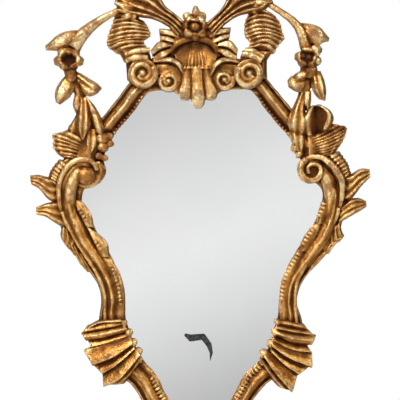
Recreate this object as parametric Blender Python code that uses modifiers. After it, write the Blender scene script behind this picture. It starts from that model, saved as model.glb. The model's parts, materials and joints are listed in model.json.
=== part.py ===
"""Wall mirror in a carved giltwood frame.

One carved frame, with a crest of scrolls, shell, leaf sprays and flower garlands, holds a mirror plate and a
pine backboard in a rebate at its back. An iron strap let into the back of the crest hangs it on a nail.

The wall is the plane y = 0 and the front looks along -Y. The origin is on the strap's wall face. The carving
is laid out on the carver's grid: squares to the right, squares down and squares of depth out from the wall.
"""

import math

import bmesh
import bpy
import numpy as np
from mathutils import Matrix

# Driving sizes in metres
FRAME_WIDTH = 0.510
GLASS_THICKNESS = 0.003
BOARD_THICKNESS = 0.006
BOARD_INSET = 0.001
REBATE_WIDTH = 0.006
EDGE_CLEARANCE = 0.0006
FACE_CLEARANCE = 0.0003
STRAP_WIDTH = 0.018
STRAP_HEIGHT = 0.052
STRAP_THICKNESS = 0.002
NAIL_HOLE = 0.008
NAIL_HOLE_RISE = 0.015
NAIL_MORTISE_WIDTH = 0.013
NAIL_MORTISE_DEPTH = 0.007
SCREW_INSET = 0.006
SCREW_SPACING = 0.012
SCREW_COUNT = 2
SCREW_HEAD = 0.0066
SCREW_SHANK = 0.0032
SCREW_LENGTH = 0.0095

# The carver's grid: so many squares across the frame, the middle column and the strap's row
GRID_COLUMNS = 340
SQUARE = FRAME_WIDTH / GRID_COLUMNS
CENTRE_COLUMN = 200
STRAP_ROW = 58
BEHIND_WALL = -3
ROUND_SIDES = 16

# How finely the forms are drawn and joined before the carved surface is brought down to its facets
ROW_STEPS = 4
SECTION_STEPS = 3
RIB_STEPS = 6
LEAF_STEPS = 10
RAIL_SIDES = 12
DRUM_SIDES = 32
GRAIN = 0.8 * SQUARE
SOFTEN_STEPS = 2
FRAME_FACETS = 7700
PETAL_LIFT = 0.9
RIDGE_DEPTH = 15.5
RIDGE_RADIUS = 2
HOOD_RIB_PITCH = 3.6
PETAL_TIERS = 2.3

# Cross-sections as (share across, share of the height), outer or left edge first
MOULDING = [
    (0, 0.5), (0.07, 0.74), (0.16, 0.62), (0.3, 0.86), (0.46, 1), (0.62, 0.88), (0.76, 0.64),
    (0.88, 0.64), (1, 0.46),
]
CROWN = [(0, 0.62), (0.3, 0.95), (0.65, 1), (1, 0.66)]
LEAF = [(0, 0.7), (0.3, 1), (0.5, 0.9), (0.74, 0.98), (1, 0.68)]
SOFT = [(0, 0.7), (0.25, 0.94), (0.58, 1), (1, 0.72)]
FOLDED = [
    (0, 0.62), (0.1, 1), (0.2, 0.74), (0.36, 0.96), (0.5, 0.68), (0.66, 0.86), (0.76, 0.66), (0.88, 1),
    (1, 0.62),
]
CUP = [(0, 0.9), (0.12, 1), (0.5, 0.3), (0.88, 1), (1, 0.9)]
VEINED = [(0, 0.66), (0.14, 0.95), (0.3, 0.86), (0.48, 1), (0.64, 0.86), (0.82, 0.96), (1, 0.66)]
CREASED = [(0, 0.8), (0.12, 0.97), (0.4, 1), (0.52, 0.8), (0.64, 0.96), (0.9, 1), (1, 0.8)]
LOBE = [(0, 0.82), (0.16, 0.95), (0.5, 1), (0.84, 0.95), (1, 0.82)]
DISH = [(0, 0.97), (0.5, 0.82), (1, 0.97)]
LIP = [(0, 0.95), (0.45, 1), (0.8, 0.92), (1, 0.6)]
PLEAT = [(0, 0.68), (0.25, 0.92), (0.5, 1), (0.8, 0.9), (1, 0.7)]
PLANE = [(0, 0.72), (0.12, 0.8), (0.78, 0.97), (0.9, 1), (1, 0.74)]
BAND = [(0, 0.78), (0.2, 1), (0.8, 1), (1, 0.78)]


def metres(points):
    """Grid points (column, row, depth) as points in metres."""
    points = np.asarray(points, float)
    return np.column_stack(
        [
            (points[:, 0] - CENTRE_COLUMN) * SQUARE,
            -points[:, 2] * SQUARE,
            (STRAP_ROW - points[:, 1]) * SQUARE,
        ]
    )


def through(rows, steps, closed=False):
    """Rows of numbers on a smooth curve through the given rows, with so many steps from one to the next."""
    rows = np.asarray(rows, float)
    if closed:
        before, start, end, after = (np.roll(rows, shift, 0) for shift in (1, 0, -1, -2))
    else:
        padded = np.vstack([2 * rows[0] - rows[1], rows, 2 * rows[-1] - rows[-2]])
        before, start, end, after = (padded[i : len(padded) - 3 + i] for i in range(4))
    curve = []
    for p, q, r, s in zip(before, start, end, after):
        for t in np.arange(steps) / steps:
            bend = (2 * p - 5 * q + 4 * r - s) * t**2 + (3 * q - p - 3 * r + s) * t**3
            curve.append(q + 0.5 * ((r - p) * t + bend))
    return np.array(curve if closed else curve + [rows[-1]])


def loft(rings, closed=False):
    """A solid through rings of grid points. Where closed, the last ring joins the first."""
    solid = bmesh.new()
    loops = [[solid.verts.new(point) for point in metres(ring)] for ring in rings]
    pairs = list(zip(loops, loops[1:] + loops[:1])) if closed else list(zip(loops, loops[1:]))
    for first, second in pairs:
        for i in range(len(first)):
            j = (i + 1) % len(first)
            solid.faces.new((first[i], first[j], second[j], second[i]))
    if not closed:
        solid.faces.new(loops[0])
        solid.faces.new(loops[-1])
    bmesh.ops.triangulate(solid, faces=solid.faces, ngon_method="EAR_CLIP")
    bmesh.ops.recalc_face_normals(solid, faces=solid.faces)
    return solid


def rounded(section):
    """A cross-section through soft curves, so that each of its points is a crest, a hollow or an edge."""
    curve = []
    for (u, share), (next_u, next_share) in zip(section, section[1:]):
        for t in np.arange(SECTION_STEPS) / SECTION_STEPS:
            curve.append((u + (next_u - u) * t, share + (next_share - share) * (3 - 2 * t) * t * t))
    return curve + [section[-1]]


def strip(rows, section, steps=ROW_STEPS, closed=False, bow=0):
    """Carving between two edges. A row is each edge's column and row, then the depths of back and front."""
    rows = through(rows, steps, closed)
    section = rounded(section)
    rings = []
    for i, (x1, y1, x2, y2, back, front) in enumerate(rows):
        later, earlier = rows[(i + 1) % len(rows)], rows[i - 1]
        if not closed:
            later, earlier = rows[min(i + 1, len(rows) - 1)], rows[max(i - 1, 0)]
        along = (later[:2] + later[2:4] - earlier[:2] - earlier[2:4]) / 2
        along = along / max(np.linalg.norm(along), 1e-6)
        ring = []
        for u, share in section:
            push = bow * math.sin(math.pi * u) * along
            x, y = x1 + (x2 - x1) * u, y1 + (y2 - y1) * u
            ring.append((x + push[0], y + push[1], back + (front - back) * share))
        ring.append((x2, y2, back))
        ring.append((x1, y1, back))
        rings.append(ring)
    return loft(rings, closed)


def ribbed(rows, section, ribs, ripple, scallop=0, bow=0):
    """A strip with ribs across it: each rib stands up by the ripple and its ends stand out by the scallop."""
    wavy = []
    for i, row in enumerate(resample(rows, RIB_STEPS * ribs + 1)):
        across = (row[2:4] - row[:2]) / max(np.linalg.norm(row[2:4] - row[:2]), 1e-6)
        wave = abs(math.sin(math.pi * i / RIB_STEPS)) ** 0.9
        row[:2] -= across * scallop * wave
        row[2:4] += across * scallop * wave
        row[5] -= ripple * (1 - wave)
        wavy.append(row)
    return strip(wavy, section, 1, bow=bow)


def panel(first, second, fronts, section, back=BEHIND_WALL):
    """Carving between two edges given as points (column, row), with the front's depth at each pair."""
    return strip([(*a, *b, back, front) for a, b, front in zip(first, second, fronts)], section)


def resample(rows, count):
    """So many rows at even steps along a smooth curve through the given rows."""
    fine = through(rows, 8)
    places = np.linspace(0, len(fine) - 1, count)
    return np.column_stack([np.interp(places, np.arange(len(fine)), column) for column in fine.T])


def leaf(path, width, thick, section=LEAF, blunt=0.3):
    """A leaf along its midrib of (column, row, front's depth). Blunt is the tip's share of the width."""
    mid = resample(path, LEAF_STEPS)
    rows = []
    for i, (x, y, front) in enumerate(mid):
        t = i / (len(mid) - 1)
        half = width / 2 * (0.6 + 1.6 * t * (1 - t)) * (1 - (1 - blunt) * t**3)
        along = mid[min(i + 1, len(mid) - 1)] - mid[max(i - 1, 0)]
        nx, ny = np.array([along[1], -along[0]]) / max(np.linalg.norm(along[:2]), 1e-6)
        rows.append((x + nx * half, y + ny * half, x - nx * half, y - ny * half, front - thick, front))
    return strip(rows, section, 1)


def rail(path, steps=ROW_STEPS):
    """A round rail along points of (column, row, depth of the centre line, radius)."""
    path = through(path, steps)
    rings = []
    for i, (x, y, depth, radius) in enumerate(path):
        along = path[min(i + 1, len(path) - 1)] - path[max(i - 1, 0)]
        nx, ny = np.array([along[1], -along[0]]) / max(np.linalg.norm(along[:2]), 1e-6)
        ring = []
        for side in range(RAIL_SIDES):
            angle = 2 * math.pi * (side + 0.25) / RAIL_SIDES
            out, up = radius * math.cos(angle), radius * math.sin(angle)
            ring.append((x + nx * out, y + ny * out, depth + up))
        rings.append(ring)
    return loft(rings)


def drum(column, row, radius, front, top=0.8):
    """A round block from behind the wall plane to the front, a little narrower there."""
    solid = bmesh.new()
    place = Matrix.Translation(metres([(column, row, (front + BEHIND_WALL) / 2)])[0])
    bmesh.ops.create_cone(
        solid,
        cap_ends=True,
        segments=DRUM_SIDES,
        radius1=radius * SQUARE,
        radius2=radius * top * SQUARE,
        depth=(front - BEHIND_WALL) * SQUARE,
        matrix=place @ Matrix.Rotation(math.pi / 2, 4, "X"),
    )
    bmesh.ops.triangulate(solid, faces=solid.faces, ngon_method="EAR_CLIP")
    return solid


def ball(column, row, depth, radius, height):
    """A dome or button: a sphere whose depth is pressed or drawn out to the height."""
    solid = bmesh.new()
    place = Matrix.Translation(metres([(column, row, depth)])[0])
    size = Matrix.Diagonal((radius * SQUARE, height * SQUARE, radius * SQUARE, 1))
    upright = Matrix.Rotation(math.pi / 2, 4, "X")
    bmesh.ops.create_uvsphere(
        solid, u_segments=DRUM_SIDES, v_segments=DRUM_SIDES // 2, radius=1, matrix=place @ size @ upright
    )
    return solid


def scroll(column, row, radius, start, hand, front, turns=1.5):
    """A volute: a broad raised band that winds in to a button from the start angle, in degrees."""
    path = []
    for share in np.linspace(0, 1, 12):
        angle = math.radians(start + hand * 360 * turns * share)
        reach = radius * (0.79 - 0.5 * share)
        x, y = column + reach * math.cos(angle), row + reach * math.sin(angle)
        path.append((x, y, front - 0.22 * radius, radius * (0.22 - 0.06 * share)))
    return [
        drum(column, row, radius, front - 0.22 * radius, 0.88),
        rail(path),
        ball(column, row, front - 0.3 * radius, 0.22 * radius, 0.32 * radius),
    ]


def petals(column, row, shapes, front):
    """Petals about a sunk eye. A shape is the angle in degrees, the reach of the tip, and the width."""
    forms = []
    for i, (degrees, reach, width) in enumerate(shapes):
        x, y = math.cos(math.radians(degrees)), math.sin(math.radians(degrees))
        lift = PETAL_LIFT * i % PETAL_TIERS
        path = [
            (column + 0.3 * reach * x, row + 0.3 * reach * y, front + lift - 5),
            (column + 0.62 * reach * x, row + 0.62 * reach * y, front + lift),
            (column + reach * x, row + reach * y, front + lift - 5),
        ]
        forms.append(leaf(path, width, 8, SOFT, 0.75))
    return forms


# The moulding that runs right round the glass, from the crest down the left side, round the foot and up the
# right side: (column, row) of its outer and of its inner edge, and its height
LEFT_SIDE = [
    (172, 66, 174, 92, 15),
    (146, 68, 154, 92, 16),
    (130, 82, 145, 97, 17),
    (116, 100, 134, 112, 17),
    (104, 115, 121, 127, 17),
    (90, 132, 111, 142, 17),
    (74, 152, 104, 158, 17),
    (62, 174, 93, 178, 18),
    (58, 192, 83, 192, 19),
    (58, 208, 83, 206, 19),
    (60, 225, 91, 219, 19),
    (68, 245, 99, 237, 19),
    (79, 259, 109, 252, 19),
    (90, 273, 117, 267, 18),
    (98, 286, 122, 282, 18),
    (101, 300, 125, 298, 18),
    (99, 318, 126, 314, 17),
    (98, 336, 131, 332, 16),
    (104, 354, 137, 347, 16),
    (116, 373, 146, 362, 17),
    (131, 385, 156, 374, 18),
    (141, 400, 165, 392, 18),
    (150, 415, 174, 405, 17),
    (162, 428, 184, 415, 16),
    (180, 438, 193, 421, 15),
]
FOOT = [(200, 441, 200, 423, 15)]
RIGHT_SIDE = [
    (220, 438, 207, 421, 15),
    (238, 428, 216, 415, 16),
    (247, 414, 226, 406, 17),
    (254, 399, 234, 394, 18),
    (266, 385, 244, 375, 18),
    (281, 373, 257, 362, 17),
    (294, 355, 267, 348, 16),
    (302, 337, 273, 333, 16),
    (302, 320, 277, 316, 17),
    (297, 303, 279, 299, 18),
    (301, 285, 281, 282, 18),
    (312, 270, 289, 265, 18),
    (325, 256, 297, 250, 19),
    (336, 242, 307, 235, 19),
    (342, 225, 315, 221, 19),
    (345, 208, 321, 206, 19),
    (345, 191, 322, 190, 19),
    (338, 170, 309, 177, 18),
    (324, 149, 299, 158, 17),
    (307, 128, 289, 138, 17),
    (293, 110, 276, 123, 17),
    (279, 93, 264, 108, 17),
    (265, 77, 253, 93, 17),
    (249, 67, 243, 90, 16),
    (224, 66, 222, 92, 15),
]
CREST_MIDDLE = [(198, 66, 198, 93, 15)]


def moulding_rows():
    """The moulding's rows, from just behind the wall plane to its height."""
    sides = LEFT_SIDE + FOOT + RIGHT_SIDE + CREST_MIDDLE
    return [(x1, y1, x2, y2, BEHIND_WALL, height) for x1, y1, x2, y2, height in sides]


def crest_block():
    """The flat block behind the shell, which carries the strap."""
    rows = [
        (180, 38, 212, 38), (166, 50, 228, 50), (156, 60, 238, 60), (154, 76, 240, 76),
        (160, 86, 232, 86),
    ]
    return [strip([(*row, BEHIND_WALL, 17) for row in rows], [(0, 0.9), (0.5, 1), (1, 0.9)])]


def volutes():
    """The four scrolls of the crest, and the rims that run from the outer ones over the inner ones."""
    forms = scroll(143, 73.5, 16.5, 330, 1, 27) + scroll(249, 74, 16, 210, -1, 27)
    forms += scroll(169, 81.5, 11.3, 200, -1, 24, 1.25) + scroll(224.5, 80, 11.6, 340, 1, 24, 1.25)
    left_first = [(152, 58), (161, 57.5), (171, 56.5), (180, 60.5), (187.5, 69)]
    left_second = [(153, 65), (162, 64), (170, 64.5), (176.5, 68.5), (181, 76)]
    right_first = [(206.5, 72), (212, 62.5), (221, 57), (231, 57), (240, 59)]
    right_second = [(213, 78), (217.5, 70), (224, 65), (231, 64), (239, 66)]
    fronts = (20, 24, 27.5, 27.5, 23)
    forms.append(panel(left_first, left_second, fronts, CROWN))
    forms.append(panel(right_first, right_second, fronts[::-1], CROWN))
    # The grounds under the rims, and the outer scrolls' flanks
    forms.append(
        panel(
            [(156, 63), (168, 62), (180, 67)],
            [(157, 76), (168, 79), (181, 82)],
            (20, 21, 21),
            BAND,
        )
    )
    forms.append(
        panel(
            [(212, 67), (224, 62), (237, 63)],
            [(212, 82), (224, 79), (236, 76)],
            (21, 21, 20),
            BAND,
        )
    )
    forms.append(panel([(256, 59), (256, 78)], [(267, 58), (267, 79)], (19, 20), CROWN))
    forms.append(panel([(126, 61), (127, 80)], [(138, 62), (136, 84)], (19, 20), CROWN))
    return forms


def shell():
    """The shell: a dished hood under an arch, a ribbed lip, and lobes that hang over the glass."""
    hood = [(179, 43, 212, 43, 4, 19), (174, 53, 218, 53, 4, 20), (180, 66, 213, 66, 4, 24)]
    arch = [(171, 57, 17, 2.6), (174, 47, 20, 3), (183, 41, 22, 3.2), (195, 38.5, 23, 3.2)]
    arch += [(207, 41, 22, 3.2), (215, 47, 20, 3), (219, 57, 17, 2.6)]
    forms = [strip(hood, DISH), rail(arch)]
    for step in range(-4, 5):
        reach = HOOD_RIB_PITCH * step
        spread = ((0.45, 46, 15, 1), (0.9, 60, 19, 1.3), (1, 69, 22.4, 1.7))
        forms.append(rail([(196 + share * reach, *rest) for share, *rest in spread]))
    # Each lobe's left edge, right edge and depths
    lobes = [
        ([(177, 70), (174, 81), (172, 90)], [(184, 69), (182, 82), (180, 95)], (19, 22, 19)),
        (
            [(182.5, 67), (180.5, 82), (178.3, 92), (180, 98.5), (183.5, 100)],
            [(191.7, 67), (192, 82), (191.8, 92), (190.5, 98), (187.5, 100)],
            (23, 24, 24.5, 23.5, 19),
        ),
        (
            [(189.5, 67), (190.5, 84), (190.8, 97), (192.5, 104), (195.7, 108)],
            [(203.5, 67), (204.3, 84), (205.6, 97), (204.2, 104), (200.3, 108)],
            (24, 26, 27, 26, 21),
        ),
        (
            [(201.4, 67), (203, 82), (204.3, 92), (205.5, 98), (208.5, 100)],
            [(210.3, 67), (213.8, 82), (217.5, 91), (216, 98), (212.5, 100)],
            (23, 24, 24.5, 23.5, 19),
        ),
        ([(208, 69), (212, 82), (215, 95)], [(215, 70), (220, 81), (223, 90)], (19, 22, 19)),
    ]
    return forms + [panel(left, right, fronts, LOBE) for left, right, fronts in lobes]


def rosette():
    """The flower at the top of the shell, with its bud."""
    ring = [
        (180, 14, 11), (228, 14, 10), (312, 14, 10), (0, 14, 11), (48, 14.5, 11), (132, 14.5, 11),
        (90, 13, 10), (270, 10, 12),
    ]
    forms = petals(195, 27, ring, 29)
    forms += [ball(195, 37, 24, 5, 5), ball(187, 17, 22, 4.4, 4.4), ball(201.5, 17, 22, 4.8, 4.6)]
    forms += [leaf([(195.5, 18, 25), (196, 13, 28), (195.5, 6.5, 24)], 9, 8, SOFT, 0.5)]
    forms += [ball(195, 28, 25, 5.5, 4), ball(184, 33, 18, 6, 6), ball(206.5, 33, 18, 6, 6)]
    return forms + [drum(195, 28, 12, 22)]


def sprays():
    """The two big folded leaves that spread up and out from the flower and curl over at their ends."""
    left = [
        (186, 24, 178, 37, 16, 26),
        (176, 15, 168, 27, 15, 28),
        (166, 7, 154, 20, 14, 28),
        (159, -4, 138, 17, 10, 26),
        (147, -12, 126, 15, 8, 24),
        (133, -15, 117, 8, 7, 21),
        (122, -11, 115, -1, 7, 16),
    ]
    right = [
        (206, 24, 214, 37, 16, 26),
        (216, 15, 224, 26, 15, 28),
        (224, 5, 237, 17, 14, 28),
        (229, -6, 251, 13, 10, 26),
        (239, -13, 263, 11, 8, 24),
        (255, -15, 271, 3, 7, 21),
        (266, -11, 273, -5, 7, 16),
    ]
    forms = [strip(left, FOLDED), strip(right, FOLDED)]
    # The curled tips at each spray's end
    for tip, width in (((114.5, 3), 8), ((116, 10), 7), ((121, 17), 8), ((130, 18), 7)):
        path = [(138, 9, 19), ((138 + tip[0]) / 2, tip[1] * 0.6 + 5, 23), (*tip, 19)]
        forms.append(leaf(path, width, 8, SOFT, 0.6))
    for tip, width in (((273, 2), 7), ((263, 10), 7), ((257, 14), 7)):
        path = [(250, 5, 19), ((250 + tip[0]) / 2, tip[1] * 0.6 + 2, 23), (*tip, 19)]
        forms.append(leaf(path, width, 8, SOFT, 0.6))
    return forms


def wings():
    """The ribbed wings that stand on the outer scrolls, with the collars under them."""
    left = [
        (116, 14, 142, 20, 5, 18),
        (113.5, 22, 146, 25, 5, 20),
        (110.5, 31, 148.5, 30, 5, 22),
        (107.5, 41, 149.5, 36, 5, 23),
        (109, 47, 143, 41, 5, 22),
        (119, 54, 146, 47, 5, 20),
    ]
    right = [
        (250, 13, 273, 14, 5, 18),
        (246, 21, 279, 22, 5, 20),
        (245, 30, 281.5, 31, 5, 22),
        (246.5, 37, 283.5, 38, 5, 23),
        (251, 43, 278, 45, 5, 22),
        (247, 50, 273, 54, 5, 20),
    ]
    forms = [ribbed(left, CROWN, 9, 3, 1, -3), ribbed(right, CROWN, 9, 3, 1, -5)]
    for path in (
        [(125, 55, 18, 2.6), (137, 51.5, 21, 3.2), (150, 50, 20, 2.4)],
        [(126, 61, 19, 2.8), (137, 58, 22, 3.4), (148, 58.5, 21, 2.8)],
        [(245, 50, 19, 2.4), (254, 52, 21, 2.8), (264, 58, 20, 2.4)],
        [(241.5, 54, 19, 3), (251, 55.5, 22, 3.6), (261.5, 61.5, 21, 3)],
    ):
        forms.append(rail(path))
    forms.append(panel([(118, 50), (124, 62)], [(148, 48), (152, 62)], (18, 20), BAND))
    forms.append(panel([(243, 50), (239, 62)], [(272, 52), (266, 62)], (18, 20), BAND))
    return forms


def ribbons():
    """Two short broad creased bands that curl down on each side of the shell."""
    bands = [
        ([(159, 28.5), (168, 29.5), (180, 33)], [(160.5, 41), (169, 43), (178, 46)], (21, 25, 23)),
        ([(151, 50), (159, 42), (170, 42.5)], [(154, 62), (164, 59), (173, 52)], (20, 25, 22)),
        ([(231, 27.5), (221, 28.5), (209, 32)], [(229, 38.5), (220, 42), (211, 46)], (21, 25, 23)),
        ([(238, 49), (230, 40.5), (219, 42)], [(236, 61), (226, 58), (216, 52)], (20, 25, 22)),
    ]
    forms = [panel(first, second, fronts, CREASED) for first, second, fronts in bands]
    return forms + [drum(182, 36, 9, 22), drum(208, 36, 9, 22)]


def stems():
    """The arched stems from the sprays down to the flowers, and the leaf that lies back at each one's end."""
    left = [
        (120, 10, 15, 3), (110, 15, 17, 3.6), (99, 21.5, 18, 4.4), (89, 29, 18, 5.6), (80, 38, 17, 7),
        (74, 48, 15, 7),
    ]
    right = [
        (267, 3, 15, 2.6), (279, 11, 17, 3.2), (289, 18, 18, 3.6), (297, 26, 18, 4.4), (302, 36, 17, 5),
        (306, 48, 15, 6),
    ]
    forms = [rail(left), rail(right)]
    forms.append(
        panel(
            [(84, 31), (72, 30.5), (61, 33.5), (51, 41), (45, 46)],
            [(78, 42), (70, 46), (62, 50), (54, 50.5), (46.5, 50)],
            (18, 22, 23, 20, 15),
            SOFT,
            8,
        )
    )
    forms.append(
        panel(
            [(300, 23), (310, 24), (319, 27), (325, 33), (329.5, 38)],
            [(305, 37), (311, 43), (319, 45), (324, 42), (328.5, 41.5)],
            (18, 22, 23, 20, 15),
            SOFT,
            8,
        )
    )
    return forms


def flowers():
    """The flower on each garland: petals, lips and cup."""
    left = [
        (172, 15, 12), (8, 15, 12), (228, 14, 12), (312, 13, 12), (270, 12, 12), (125, 12, 11),
        (55, 12, 11),
    ]
    right = [(180, 12.5, 11), (325, 17, 12), (278, 11, 13), (20, 12, 9), (60, 13, 8), (125, 12, 9)]
    forms = petals(69, 60, left, 24) + petals(307, 57, right, 24)
    for column, row, radius in (
        (70, 67, 6.5), (70.5, 72, 6.2), (71, 77, 5.4),
        (307, 50, 6), (316, 51, 4.5), (302, 57, 4.5), (308.5, 64, 8), (309, 70, 8.6),
        (317, 61, 4.5), (308.5, 58.5, 5),
    ):
        forms.append(ball(column, row, 17, radius, 5))
        forms.append(drum(column, row, radius, 15))
    forms += [drum(72, 47, 6, 15), drum(311, 45, 6, 15)]
    return forms + [drum(69, 61, 9, 19), drum(307, 59, 10, 19)]


def garlands():
    """The leaves, husks and buds that hang from the flowers to the shoulders, on a core of stalk."""
    left = [
        (
            [(66, 75), (59, 83), (55.3, 92), (55.4, 102)],
            [(76, 77), (74.5, 88), (69.5, 97), (60, 104.5)],
            (17, 21, 23, 17), SOFT,
        ),
        (
            [(76, 71), (87, 77), (97, 83.5), (101.5, 88)],
            [(78, 84), (84, 94), (91, 96.5), (98, 93)],
            (17, 22, 24, 15), LEAF,
        ),
        ([(74, 95), (73, 105), (76, 114)], [(80, 94), (81.5, 105), (79, 115)], (15, 19, 14), SOFT),
        (
            [(79, 98), (77.5, 113), (76, 127), (81, 138.5)],
            [(88, 98), (90, 113), (90.5, 127), (84.5, 141)],
            (17, 22, 24, 20), LEAF,
        ),
        (
            [(85, 96), (89, 110), (93, 123), (96, 132)],
            [(91, 101), (99, 113), (103.5, 126), (105, 136)],
            (17, 20, 23, 21), SOFT,
        ),
        ([(85, 128), (84, 142), (88, 153)], [(98, 130), (98.5, 142), (92, 155)], (17, 20, 17), LEAF),
        ([(77, 112), (73, 120), (68.5, 128)], [(82, 116), (80, 126), (76, 136)], (14, 17, 17), SOFT),
    ]
    right = [
        (
            [(309, 75), (300, 76), (292, 76), (287.5, 80.5)],
            [(309, 84), (303, 91), (296, 91.5), (288.5, 87)],
            (15, 19, 20, 16),
            SOFT,
        ),
        (
            [(310, 69.5), (302, 70.5), (296, 73.5), (293.5, 77)],
            [(308, 77), (304, 80), (300, 82), (296, 83)],
            (20, 25, 25, 20),
            SOFT,
        ),
        (
            [(311, 71), (311, 80), (312.5, 90), (319, 99)],
            [(320.5, 71), (324, 80), (326, 91), (325.5, 101)],
            (17, 22, 24, 17), LEAF,
        ),
        (
            [(304, 92), (303, 102), (306.5, 110.5)],
            [(311, 91), (311, 102), (309, 111.5)],
            (18, 21, 16), SOFT,
        ),
        (
            [(301, 90), (293.5, 106), (287.5, 121), (290, 131)],
            [(307, 94), (305, 111), (309, 123), (305, 136)],
            (16, 21, 24, 20), LEAF,
        ),
        (
            [(289, 128), (290.5, 138), (296, 151)],
            [(304, 130), (305.5, 141), (303, 153)],
            (18, 21, 17), LEAF,
        ),
        (
            [(312, 105.5), (306, 113), (303.5, 122), (307, 136)],
            [(319, 104.5), (328, 110), (332, 120), (327, 132)],
            (15, 20, 22, 17),
            CUP,
        ),
        (
            [(316, 106), (321.5, 108.5), (325, 117), (321, 131)],
            [(320, 104.5), (329.5, 110), (333.5, 119.5), (328.5, 130)],
            (18, 23, 24, 18),
            SOFT,
        ),
    ]
    forms = [panel(first, second, fronts, section, 6) for first, second, fronts, section in left + right]
    left_stalk = [(71, 70, 12, 4), (77, 86, 11, 5), (82, 104, 11, 5), (89, 124, 10, 5), (92, 144, 9, 5)]
    right_stalk = [
        (309, 68, 12, 4), (306, 86, 11, 5), (301, 104, 10, 5), (300, 126, 10, 6), (303, 146, 9, 6),
    ]
    forms += [rail(left_stalk), rail(right_stalk)]
    return forms + [drum(95, 134, 8, 10), drum(302, 140, 10, 12)]


def shoulders():
    """The ribbed fans at the shoulders, outside the garlands' ends, on the plain necks above the scrolls."""
    left = [
        (71, 124, 85, 134, 2, 17),
        (66, 131, 86, 143, 2, 19),
        (53, 134.5, 86, 148, 2, 21),
        (54, 141, 86, 151, 2, 21),
        (53.5, 147, 85, 154, 2, 20),
        (58, 154, 82, 158, 2, 19),
        (64, 158, 80, 160, 2, 18),
    ]
    right = [
        (331, 124, 308, 139, 2, 18),
        (345, 127, 308, 143, 2, 20),
        (345.5, 133, 310, 147, 2, 20),
        (342, 142, 312, 151, 2, 20),
        (337, 149, 315, 154, 2, 19),
        (334, 154, 317, 157, 2, 18),
    ]
    forms = [ribbed(left, SOFT, 8, 2.6, 1, -1), ribbed(right, SOFT, 9, 2.4, 1, 2)]
    forms.append(panel([(76, 138), (68, 162)], [(98, 140), (97, 168)], (18, 19), CROWN))
    forms.append(
        panel(
            [(314, 130), (319, 142), (325, 160)],
            [(303, 131), (304, 142), (302, 166)],
            (13, 17, 19),
            CROWN,
        )
    )
    for path in (
        [(300, 142, 14), (295, 148, 18), (291, 146, 15)],
        [(303, 148, 14), (299, 154, 18), (296, 157, 15)],
    ):
        forms.append(leaf(path, 9, 17, SOFT, 0.6))
    # The cluster of small curls between the left shoulder and the glass
    for column, row, radius in (
        (103, 138, 7), (109, 136, 4), (110, 143.5, 3.8), (103, 147, 5.5), (99, 156, 3.6), (104.5, 158, 3.4),
    ):
        forms.append(drum(column, row, radius, 15))
        forms.append(ball(column, row, 15, 0.96 * radius, 0.7 * radius))
    return forms


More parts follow.
